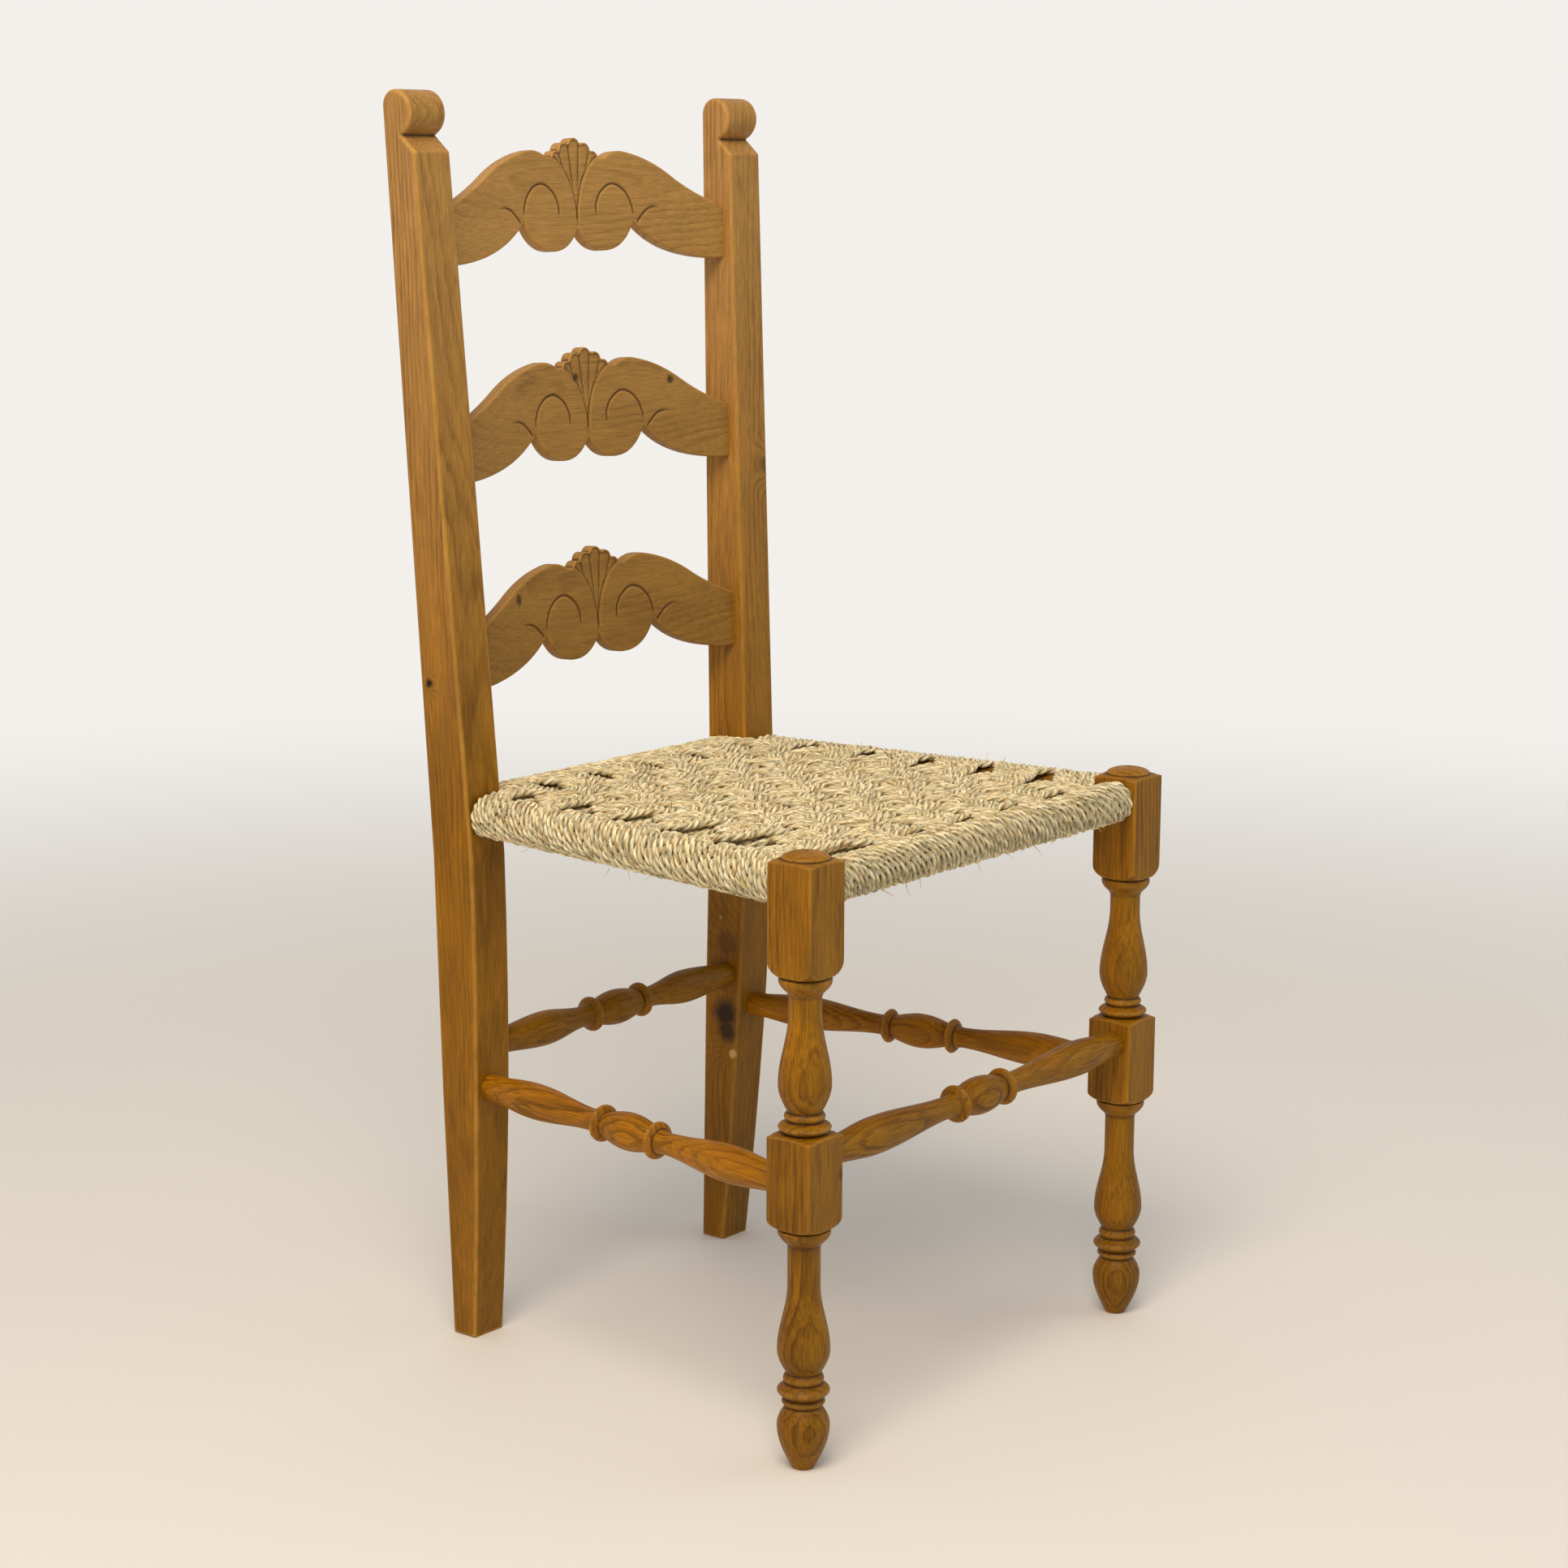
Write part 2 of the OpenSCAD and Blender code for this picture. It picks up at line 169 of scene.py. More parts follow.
def bend(a, b, c, n=14):
    """A quadratic curve from a towards b to c, without its last point."""
    a, b, c = map(np.array, (a, b, c))
    t = np.arange(n)[:, None] / n
    return a * (1 - t) ** 2 + 2 * b * t * (1 - t) + c * t**2


def smooth_line(points, n=10):
    """A smooth line through a few points."""
    p = np.array(points, float)
    p = np.vstack([2 * p[0] - p[1], p, 2 * p[-1] - p[-2]])
    out = []
    for i in range(1, len(p) - 2):
        t = np.arange(n)[:, None] / n
        out.append(
            0.5
            * (
                2 * p[i]
                + (p[i + 1] - p[i - 1]) * t
                + (2 * p[i - 1] - 5 * p[i] + 4 * p[i + 1] - p[i + 2]) * t**2
                + (3 * p[i] - p[i - 1] - 3 * p[i + 1] + p[i + 2]) * t**3
            )
        )
    return np.vstack(out + [p[-2:-1]])


def resample(loop, step):
    """The closed outline with a point at each corner and every step between."""
    out = []
    for a, b in zip(loop, np.roll(loop, -1, 0)):
        n = max(1, int(math.ceil(np.hypot(*(b - a)) / step)))
        out += [a + (b - a) * k / n for k in range(n)]
    return np.array(out)


def inset(loop, distance):
    """The closed outline, counter-clockwise, moved inwards."""
    along = np.roll(loop, -1, 0) - loop
    along /= np.maximum(np.hypot(along[:, 0], along[:, 1]), 1e-9)[:, None]
    out = np.stack([along[:, 1], -along[:, 0]], 1)
    before = np.roll(out, 1, 0)
    mitre = (out + before) / np.maximum(1 + (out * before).sum(1), 0.35)[:, None]
    return loop - mitre * distance


def shrink(loop, distance):
    """The outline moved inwards, with the points gathered where it would fold."""
    moved = inset(loop, distance)
    if distance < 0.05:
        return moved
    bad = distance_to(moved, loop, True) < distance * 0.97
    good = np.flatnonzero(~bad)
    n = len(loop)
    for k in np.flatnonzero(bad):
        gap = np.abs(good - k)
        moved[k] = moved[good[np.argmin(np.minimum(gap, n - gap))]]
    return moved


def distance_to(points, line, closed=False):
    """Distance of each point from a line of points."""
    ends = np.roll(line, -1, 0) if closed else line[1:]
    best = np.full(len(points), 1e9)
    for a, b in zip(line, ends):
        ab = b - a
        t = np.clip(((points - a) @ ab) / max(ab @ ab, 1e-9), 0, 1)
        best = np.minimum(best, np.hypot(*(points - a - t[:, None] * ab).T))
    return best


def inside(points, loop):
    """Which points lie inside the closed outline."""
    hit = np.zeros(len(points), bool)
    for a, b in zip(loop, np.roll(loop, -1, 0)):
        if a[1] != b[1]:
            cross = (points[:, 1] < a[1]) != (points[:, 1] < b[1])
            hit ^= cross & (points[:, 0] < (b[0] - a[0]) * (points[:, 1] - a[1]) / (b[1] - a[1]) + a[0])
    return hit


EDGE_BORDER = 1.2  # width of the flat strip beside an eased edge


def board(outline, thick, ease, pitch):
    """A board with eased edges: points as (u, v, depth), faces, and which of
    the points belong to the front face. The front face is filled with a grid
    of points, a pitch apart, that can be carved."""
    corner = np.linspace(0, math.pi / 2, 5)
    rings = [(ease + EDGE_BORDER, 0.0)]
    rings += [(ease * (1 - math.sin(a)), ease * (1 - math.cos(a))) for a in corner]
    rings += [(0, ease + EDGE_BORDER), (0, thick - ease - EDGE_BORDER)]
    rings += [(ease * (1 - math.cos(a)), thick - ease * (1 - math.sin(a))) for a in corner]
    rings.append((ease + EDGE_BORDER, thick))
    n = len(outline)
    points = np.vstack([np.column_stack([shrink(outline, far), np.full(n, depth)]) for far, depth in rings])
    faces = ladder(len(rings), n)
    for ring, turn in ((0, 1), (len(rings) - 1, -1)):
        loop = points[ring * n : (ring + 1) * n, :2]
        kept = np.flatnonzero(np.hypot(*(loop - np.roll(loop, 1, 0)).T) > 1e-4)
        loop = loop[kept]
        grid = np.empty((0, 2))
        if ring == 0:
            lo, hi = loop.min(0), loop.max(0)
            u, v = np.meshgrid(np.arange(lo[0], hi[0], pitch), np.arange(lo[1], hi[1], pitch * 0.87))
            u[1::2] += pitch / 2
            grid = np.column_stack([u.ravel(), v.ravel()])
            grid = grid[inside(grid, loop)]
            grid = grid[distance_to(grid, loop, True) > pitch * 0.6]
        flat = np.vstack([loop, grid])
        edges = [(k, (k + 1) % len(kept)) for k in range(len(kept))]
        made = delaunay_2d_cdt([Vector(p) for p in flat], edges, [], 1, 1e-6)
        if len(made[0]) != len(flat):
            raise RuntimeError("a face of a board could not be filled")
        index = np.concatenate([ring * n + kept, len(points) + np.arange(len(grid))])
        points = np.vstack([points, np.column_stack([grid, np.full(len(grid), rings[ring][1])])])
        faces += [tuple(index[list(f)][::turn]) for f in made[2]]
    return points, faces, points[:, 2] <= 1e-9


def ladder(rows, around):
    """The faces between rows of points that each go once round."""
    faces = []
    for row in range(0, (rows - 1) * around, around):
        for k in range(around):
            j = (k + 1) % around
            faces.append((row + k, row + j, row + around + j, row + around + k))
    return faces


def turning(r, heights, angle):
    """A turned solid, from its radius at each height and angle."""
    rows, around = r.shape
    up = np.repeat(heights, around)
    points = np.column_stack([(r * np.cos(angle)).ravel(), (r * np.sin(angle)).ravel(), up])
    points = np.vstack([points, [0, 0, heights[0]], [0, 0, heights[-1]]])
    faces = ladder(rows, around)
    low, high, last = len(points) - 2, len(points) - 1, (rows - 1) * around
    for k in range(around):
        j = (k + 1) % around
        faces += [(low, j, k), (high, last + k, last + j)]
    return points, faces


# ---------------------------------------------------------------- turned outlines


def curve(z0, r0, z1, r1, n, shape):
    """Points from (z0, r0) to (z1, r1), with a shape that goes from 0 to 1."""
    return [(z0 + (z1 - z0) * i / n, r0 + (r1 - r0) * shape(math.pi * i / n)) for i in range(1, n + 1)]


def round_curve(z0, r0, z1, r1):
    return curve(z0, r0, z1, r1, 12, lambda a: math.sin(a / 2))


def fall_curve(z0, r0, z1, r1):
    return curve(z0, r0, z1, r1, 12, lambda a: 1 - math.cos(a / 2))


def ease_curve(z0, r0, z1, r1):
    return curve(z0, r0, z1, r1, 24, lambda a: (1 - math.cos(a)) / 2)


def bead(z, h, r, proud, n=12):
    return [(z + h * i / n, r + proud * math.sin(math.pi * i / n)) for i in range(n + 1)]


BELLY, NECK = 19.4, 12.0


def block(z0, z1, swell):
    corner = HALF_STOCK * math.sqrt(2) + 1
    curve = [
        (z0 + swell * (1 - math.cos(a)), 17.5 + (corner - 17.5) * math.sin(a))
        for a in np.linspace(0, math.pi / 2, 13)
    ]
    return curve + [(z1 - 3.5, corner), (z1 - 2.4, corner - 1.5), (z1, 17)]


def baluster(z0, z1, full, thin):
    neck_z = z1 - 15
    full_z = z0 + (neck_z - z0) * full
    thin_z = z0 + (neck_z - z0) * thin
    return (
        [(z0, NECK + 1)]
        + round_curve(z0, NECK + 1, full_z, BELLY)
        + ease_curve(full_z, BELLY, thin_z, NECK)
        + bead(neck_z, 2.5, NECK, 1.5)
        + round_curve(neck_z + 2.5, NECK + 0.5, z1 - 3, BELLY)
        + [(z1 - 1.5, BELLY - 0.1), (z1 - 0.7, 17)]
    )


def leg_outline():
    seat, block_low, block_top = SEAT_TOP + 1, 183.0, 253.0
    upper = seat + 1.5 - 85
    return np.array(
        [(0, 8)]
        + round_curve(0, 8, 33.1, BELLY)
        + fall_curve(33.1, BELLY, 48, NECK + 1)
        + bead(48.5, 5.5, NECK + 2, 2)
        + bead(54.5, 10.5, NECK + 2, BELLY - NECK - 2)
        + bead(65.5, 6.5, NECK + 1.5, 1.5)
        + baluster(73.5, block_low, 0.18, 0.7)
        + block(block_low, block_top, 10)
        + bead(block_top + 0.6, 8.5, NECK + 1.5, BELLY - NECK - 1.5)
        + bead(block_top + 9.8, 6, NECK + 1, 2)
        + baluster(block_top + 17, upper, 0.23, 0.86)
        + block(upper, seat + 1.5, 18)
        + [(seat + 1.5 + 5.5 * math.sin(a), 17.6 * math.cos(a)) for a in np.linspace(0.08, 1.45, 10)]
    )


def stretcher_outline(length):
    mid, ring, r, neck = length / 2, length / 2 - 30.5, 14.5, 8.5
    half = (
        [(0, 10)]
        + ease_curve(0, 10, 56, r - 0.5)
        + ease_curve(56, r - 0.5, ring - 9, neck)
        + bead(ring - 4.5, 9, neck + 1, r - neck - 1)
        + [(ring + 5.5, neck + 1.5)]
        + round_curve(ring + 5.5, neck + 1.5, mid, r)
    )
    return np.array(half + [(length - z, r) for z, r in half[-2::-1]])


# ---------------------------------------------------------------- materials


def blank(name):
    """A new material, and its node tree with nothing in it."""
    material = bpy.data.materials.new(name)
    material.use_nodes = True
    material.node_tree.nodes.clear()
    return material, material.node_tree


def close(tree, sockets):
    """Ends a material in its shader."""
    shader = add(tree, "ShaderNodeBsdfPrincipled", sockets).outputs[0]
    add(tree, "ShaderNodeOutputMaterial", {"Surface": shader})


def spots(tree, place, across, along, detail=2.0, roughness=0.5):
    """Noise with spots so many millimetres across and along the grain."""
    scale = (1 / across, 1 / across, 1 / along)
    place = add(tree, "ShaderNodeVectorMath", {0: place, 1: scale}, operation="MULTIPLY").outputs[0]
    sockets = {"Vector": place, "Scale": 1.0, "Detail": detail, "Roughness": roughness}
    return add(tree, "ShaderNodeTexNoise", sockets).outputs


def tint_towards(tree, base, where, low, high, most, colour):
    """Colours the base, from not at all at low to the most at high."""
    sockets = {"Value": where, "From Min": low, "From Max": high, "To Min": 0.0, "To Max": most}
    amount = add(tree, "ShaderNodeMapRange", sockets).outputs[0]
    return add(tree, "ShaderNodeMix", {0: amount, 6: base, 7: colour}, data_type="RGBA").outputs[2]


def shade(tree, base, where, low, high, at_low, at_high):
    """Darkens or lightens the base by a factor that follows where."""
    sockets = {"Value": where, "From Min": low, "From Max": high, "To Min": at_low, "To Max": at_high}
    sockets = {0: 1.0, 6: base, 7: add(tree, "ShaderNodeMapRange", sockets).outputs[0]}
    return add(tree, "ShaderNodeMix", sockets, data_type="RGBA", blend_type="MULTIPLY").outputs[2]


GRAIN_TURN = {"x": (0, -math.pi / 2, 0), "y": (math.pi / 2, 0, 0), "z": (0, 0, 0)}
# how dark a year's ring is, from its early wood to its late wood
RING_TONES = ((0.0, 0.06), (0.45, 0.16), (0.8, 0.85), (0.9, 1.0), (1.0, 0.1))


# Knotty pine under a worn satin varnish: an orange-brown wood with darker
# late-wood lines a few millimetres apart, fine fibres along the grain, dark
# knots, and pale worn edges where the varnish has gone. Knots and chips are
# in millimetres; ring is the width of a year's ring, swing how far the rings
# wander and bold how strongly they show.
def varnished_pine(name, grain, pith, tones, knots=(), chips=(), wear=0.5, ring=4.4, swing=30.0, bold=0.74):
    light, mid, dark = (linear(c) for c in tones)
    look = bpy.context.scene.chair_looks
    material, t = blank(name)
    place = add(t, "ShaderNodeTexCoord").outputs["Object"]
    moved = add(t, "ShaderNodeVectorMath", {0: place, 1: pith}, operation="SUBTRACT").outputs[0]
    turn = {"Vector": moved, "Rotation": GRAIN_TURN[grain], "Scale": (1000,) * 3}
    wood = add(t, "ShaderNodeMapping", turn).outputs[0]
    real = add(t, "ShaderNodeVectorMath", {0: place, 3: 1000.0}, operation="SCALE").outputs[0]

    wander = spots(t, wood, 60, 350)["Color"]
    sockets = {0: wander, 1: (swing, swing, 0), 2: wood}
    shift = add(t, "ShaderNodeVectorMath", sockets, operation="MULTIPLY_ADD").outputs[0]
    flat = add(t, "ShaderNodeVectorMath", {0: shift, 1: (1, 1, 0)}, operation="MULTIPLY").outputs[0]
    far = add(t, "ShaderNodeVectorMath", {0: flat}, operation="LENGTH").outputs["Value"]
    rings = add(t, "ShaderNodeMath", {0: far, 1: ring}, operation="DIVIDE").outputs[0]

    # knots have ragged edges, a few millimetres in and out, and turn the grain
    rag = add(t, "ShaderNodeTexNoise", {"Vector": real, "Scale": 0.16, "Detail": 2.0}).outputs["Color"]
    sockets = {0: rag, 1: (5, 5, 5), 2: real}
    ragged = add(t, "ShaderNodeVectorMath", sockets, operation="MULTIPLY_ADD").outputs[0]
    ragged = add(t, "ShaderNodeVectorMath", {0: ragged, 1: (2.5,) * 3}, operation="SUBTRACT").outputs[0]
    knot_dark = None
    for centre, size, depth in knots:
        away = add(t, "ShaderNodeVectorMath", {0: ragged, 1: centre}, operation="DISTANCE").outputs["Value"]
        near = add(t, "ShaderNodeMath", {0: away, 1: size}, operation="DIVIDE").outputs[0]
        sockets = {"Value": near, "From Min": 0.4, "From Max": 4.5, "To Min": 2.6, "To Max": 0.0}
        swirl = add(t, "ShaderNodeMapRange", sockets, interpolation_type="SMOOTHERSTEP").outputs[0]
        rings = add(t, "ShaderNodeMath", {0: rings, 1: swirl}, operation="ADD").outputs[0]
        sockets = {"Value": near, "From Min": 0.6, "From Max": 1.45, "To Min": depth, "To Max": 0.0}
        core = add(t, "ShaderNodeMapRange", sockets).outputs[0]
        if knot_dark is not None:
            core = add(t, "ShaderNodeMath", {0: knot_dark, 1: core}, operation="MAXIMUM").outputs[0]
        knot_dark = core
    ripple = spots(t, wood, 5, 60, 3.0)["Fac"]
    rings = add(t, "ShaderNodeMath", {0: ripple, 1: 0.9, 2: rings}, operation="MULTIPLY_ADD").outputs[0]
    saw = add(t, "ShaderNodeMath", {0: rings}, operation="FRACT").outputs[0]
    late = add(t, "ShaderNodeValToRGB", {0: saw})
    for (at, tone), stop in zip(RING_TONES[::4], late.color_ramp.elements):
        stop.position, stop.color = at, (tone, tone, tone, 1)
    for at, tone in RING_TONES[1:4]:
        late.color_ramp.elements.new(at).color = (tone, tone, tone, 1)
    # how strong the lines are changes along the board
    patches = spots(t, wood, 30, 160)["Fac"]
    sockets = {"Value": patches, "From Min": 0.36, "From Max": 0.66, "To Min": 0.1 * bold, "To Max": bold}
    strength = add(t, "ShaderNodeMapRange", sockets).outputs[0]
    sockets = {0: late.outputs["Color"], 1: strength}
    lines = add(t, "ShaderNodeMath", sockets, operation="MULTIPLY").outputs[0]

    # blotches of more orange and more olive wood, a hand's breadth long
    blotch = add(t, "ShaderNodeSeparateColor", {0: spots(t, wood, 26, 110, 3.0, 0.55)["Color"]}).outputs
    base = tint_towards(t, light, blotch[0], 0.36, 0.64, 1.0, mid)
    base = tint_towards(t, base, blotch[1], 0.54, 0.72, 0.4, linear("#74490a"))
    # the head is made paler towards the top, partly as painted light from the lamps above
    high = add(t, "ShaderNodeSeparateXYZ", {0: place}).outputs[2]
    base = tint_towards(t, base, high, 0.42, 0.9, 0.72, linear("#c4955a"))
    # the faces that look to the front are made olive and darker: painted shade, as they face away from the
    # warm light from the left
    front = add(t, "ShaderNodeAttribute", attribute_name="front").outputs["Fac"]
    base = tint_towards(t, base, front, 0.2, 0.95, 0.36, linear("#866616"))
    base = add(t, "ShaderNodeMix", {0: lines, 6: base, 7: dark}, data_type="RGBA").outputs[2]
    # fibres a millimetre wide, which is as fine as shows, and about 25 mm long
    fibre = spots(t, wood, 1 / 0.85, 25, 3.0, 0.65)["Fac"]
    base = shade(t, base, fibre, 0.3, 0.7, 1 - 0.6 * bold, 1 + 0.3 * bold)
    # feet and stretchers are made darker towards the bottom, partly as painted shade, since the light comes
    # from above
    base = shade(t, base, high, 0.0, 0.6, 0.74, 1.0)
    if knot_dark is not None:
        sockets = {0: knot_dark, 6: base, 7: linear("#2c170a")}
        base = add(t, "ShaderNodeMix", sockets, data_type="RGBA").outputs[2]

    # edges are rubbed pale, and hollows hold dirt
    edge = add(t, "ShaderNodeAttribute", attribute_name="edge").outputs["Fac"]
    sockets = {"Vector": real, "Scale": 0.06, "Detail": 4.0, "Roughness": 0.7}
    rub = add(t, "ShaderNodeTexNoise", sockets).outputs["Fac"]
    worn = add(t, "ShaderNodeMapRange", {"Value": edge, "From Min": 0.25, "From Max": 0.9}).outputs[0]
    worn = add(t, "ShaderNodeMath", {0: worn, 1: rub}, operation="MULTIPLY").outputs[0]
    base = tint_towards(t, base, worn, 0.0, 1.0, look.edge_wear * wear, (*look.bare_wood, 1))
    base = tint_towards(t, base, edge, -0.1, -0.7, 0.78, (*look.grime, 1))
    # places where a splinter has gone and pale wood shows
    for centre, size in chips:
        off = add(t, "ShaderNodeVectorMath", {0: real, 1: centre}, operation="DISTANCE").outputs["Value"]
        off = add(t, "ShaderNodeMath", {0: rub, 1: 9.0, 2: off}, operation="MULTIPLY_ADD").outputs[0]
        base = tint_towards(t, base, off, size + 4.8, size + 3.6, 0.9, linear("#d2b070"))

    sockets = {"Value": fibre, "From Min": 0.2, "From Max": 0.8, "To Min": 0.5, "To Max": 0.38}
    rough = add(t, "ShaderNodeMapRange", sockets).outputs[0]
    height = add(t, "ShaderNodeMath", {0: lines, 1: 0.35, 2: fibre}, operation="MULTIPLY_ADD").outputs[0]
    bump = add(t, "ShaderNodeBump", {"Strength": 0.35, "Distance": 0.0006, "Height": height}).outputs[0]
    sockets = {"Base Color": base, "Roughness": rough, "IOR": 1.45, "Specular IOR Level": 0.2}
    close(t, {**sockets, "Normal": bump})
    return material


# Seagrass cord: dry grass leaf twisted in two plies, straw yellow with grey green and orange brown leaves,
# dull, with fine fibres along each ply and painted shade in the hollows between the plies. It reads the cord's
# own attributes: ring is the place round the cord, run the metres along it and cord a number for each.
def grass_cord(name):
    look = bpy.context.scene.chair_looks
    material, t = blank(name)
    ring = add(t, "ShaderNodeAttribute", attribute_name="ring").outputs["Vector"]
    run = add(t, "ShaderNodeAttribute", attribute_name="run").outputs["Fac"]
    cord = add(t, "ShaderNodeAttribute", attribute_name="cord").outputs["Fac"]
    round_at = add(t, "ShaderNodeSeparateXYZ", {0: ring}).outputs
    # a leaf shows for some 16 mm of cord, and leaves differ from ply to ply
    leaf_at = add(t, "ShaderNodeMath", {0: run, 1: 1 / 0.016}, operation="MULTIPLY").outputs[0]
    leaf_at = add(t, "ShaderNodeMath", {0: cord, 1: 700.0, 2: leaf_at}, operation="MULTIPLY_ADD").outputs[0]
    ply = add(t, "ShaderNodeMath", {0: round_at[0], 1: 1.1}, operation="MULTIPLY").outputs[0]
    side = add(t, "ShaderNodeMath", {0: round_at[1], 1: 0.8}, operation="MULTIPLY").outputs[0]
    leaf = add(t, "ShaderNodeCombineXYZ", {0: ply, 1: side, 2: leaf_at}).outputs[0]
    sockets = {"Vector": leaf, "Scale": 1.0, "Detail": 2.0, "Roughness": 0.6}
    tones = add(t, "ShaderNodeTexNoise", sockets).outputs["Color"]
    tones = add(t, "ShaderNodeSeparateColor", {0: tones}).outputs
    straw = add(t, "ShaderNodeValToRGB", {0: tones[0]})
    stops = straw.color_ramp.elements
    stops[0].position, stops[0].color = 0.3, (*look.cord_dark, 1)
    stops[1].position, stops[1].color = 0.72, (*look.cord_light, 1)
    stops.new(0.5).color = (*look.cord_colour, 1)
    base = tint_towards(t, straw.outputs[0], tones[1], 0.5, 0.64, 0.62, linear("#84876a"))
    base = tint_towards(t, base, tones[2], 0.56, 0.68, 0.6, linear("#b07a48"))
    # strips of leaf about a millimetre wide
    along = add(t, "ShaderNodeMath", {0: run, 1: 95.0}, operation="MULTIPLY").outputs[0]
    fx = add(t, "ShaderNodeMath", {0: round_at[0], 1: 3.4, 2: cord}, operation="MULTIPLY_ADD").outputs[0]
    fy = add(t, "ShaderNodeMath", {0: round_at[1], 1: 3.4}, operation="MULTIPLY").outputs[0]
    fine = add(t, "ShaderNodeCombineXYZ", {0: fx, 1: fy, 2: along}).outputs[0]
    sockets = {"Vector": fine, "Scale": 1.0, "Detail": 2.0, "Roughness": 0.7}
    fibre = add(t, "ShaderNodeTexNoise", sockets).outputs["Fac"]
    base = shade(t, base, fibre, 0.34, 0.62, 0.6, 1.28)
    # painted shade in the crease between the two plies of each cord
    crease_shade_mask = add(t, "ShaderNodeMath", {0: round_at[0]}, operation="ABSOLUTE").outputs[0]
    base = tint_towards(t, base, crease_shade_mask, 0.55, 0.1, 0.5, linear("#4a3a1e"))
    # painted shade: the edge over the front rail, which gets less light than the top, is made greyer and
    # darker
    place = add(t, "ShaderNodeTexCoord").outputs["Object"]
    depth = add(t, "ShaderNodeSeparateXYZ", {0: place}).outputs[1]
    base = tint_towards(t, base, depth, (LEG_Y - 6) * MM, (LEG_Y - 15) * MM, 0.3, linear("#6f6d58"))
    bump = add(t, "ShaderNodeBump", {"Strength": 0.5, "Distance": 0.0006, "Height": fibre}).outputs[0]
    close(t, {"Base Color": base, "Roughness": 0.72, "IOR": 1.45, "Normal": bump})
    return material


# Loose ends of the same dry grass: thin, dull and a little darker than the cord.
def dry_grass(name):
    material, t = blank(name)
    place = add(t, "ShaderNodeTexCoord").outputs["Object"]
    tone = add(t, "ShaderNodeTexNoise", {"Vector": place, "Scale": 60.0, "Detail": 1.0}).outputs["Fac"]
    base = tint_towards(t, linear("#8d7442"), tone, 0.4, 0.6, 1.0, linear("#dcc68e"))
    close(t, {"Base Color": base, "Roughness": 0.75, "IOR": 1.45})
    return material


# Matt painted floor: plain and pale, so that the chair's shadow shows on it.
# It fades out into the pale room, so that no edge of it shows.
def plain_floor(name):
    material, t = blank(name)
    place = add(t, "ShaderNodeTexCoord").outputs["Object"]
    far = add(t, "ShaderNodeVectorMath", {0: place}, operation="LENGTH").outputs["Value"]
    sockets = {"Value": far, "From Min": 0.9, "From Max": 3.2}
    fade = add(t, "ShaderNodeMapRange", sockets, interpolation_type="SMOOTHSTEP").outputs[0]
    colour = (*bpy.context.scene.chair_looks.floor_colour, 1)
    paint = add(t, "ShaderNodeBsdfPrincipled", {"Base Color": colour, "Roughness": 0.7}).outputs[0]
    clear = add(t, "ShaderNodeBsdfTransparent").outputs[0]
    both = add(t, "ShaderNodeMixShader", {0: fade, 1: paint, 2: clear}).outputs[0]
    add(t, "ShaderNodeOutputMaterial", {"Surface": both})
    return material


# ---------------------------------------------------------------- the carving of a slat


SHELL_Z = 18.0
LOBES = ((0, 45.0, 7.2), (16, 43.2, 6.9), (-16, 43.2, 6.9), (31, 41.8, 6.2))
SLAT_SETBACK, SLAT_THICK, SLAT_BOW = 9.0, 11.0, 15.0
INTO_POST = 4.0


def shell_edge():
    """The scalloped top between the shoulders of a slat, right half."""
    out = []
    for a in np.radians(np.linspace(42.6, 0, 60)):
        ray = np.array([math.sin(a), math.cos(a)])
        far = np.interp(math.degrees(a), (0, 16, 31, 37, 42.6), (49.5, 47.5, 45.5, 46.5, 50.2))
        for turn, reach, r in LOBES:
            off = a - math.radians(turn)
            gap = reach * math.sin(off)
            if abs(gap) < r:
                far = max(far, reach * math.cos(off) + math.sqrt(r**2 - gap**2))
        out.append(ray * far + [0, SHELL_Z])
    return out


def slat_outline(height):
    right = np.vstack(
        [
            bend((0, -1), (10, -19.5), (30, -19.5)),
            bend((30, -19.5), (54, -19.5), (65, 4)),
            bend((65, 4), (92, -24), (150, -28)),
            [(150, -28), (190, -29), (190, 6)],
            bend((166, 14.5), (136, 24), (112, 38.5)),
            bend((112, 38.5), (86, 55.5), (55, 60)),
            bend((55, 60), (44, 61), (34, 55), 6),
            shell_edge(),
        ]
    )
    # the ends stand a little way into the posts
    limit = post_x(height + right[:, 1]) - POST_WIDE / 2 + INTO_POST
    keep = right[:, 0] <= limit
    first, last = np.argmax(~keep), len(keep) - np.argmax(~keep[::-1])
    low = (limit[first], -28.1)
    (a_u, a_v), (b_u, b_v) = right[last - 1], right[last]
    part = max(0.0, (limit[last] - b_u) / max(a_u - b_u, 1e-6))
    high = (limit[last], b_v + (a_v - b_v) * part)
    right = np.vstack([right[:first], [low, high], right[last:]])
    left = right[1:-1][::-1] * [-1, 1]
    return resample(np.vstack([right, left]), 1.6)


SCROLL = smooth_line(
    [(22, 10), (22.5, 18), (28, 27), (39, 33.5), (50, 32), (59, 25), (64, 15), (65, 5), (65, -2)]
)
TICK = smooth_line([(95, 14.5), (88, 15), (80, 12.5), (72, 6), (66, -1)])
FAN_EDGE = smooth_line([(34, 58), (24, 55), (15.5, 48), (8.5, 39), (3.6, 28), (0.8, 17), (0, 8), (0, -4)])


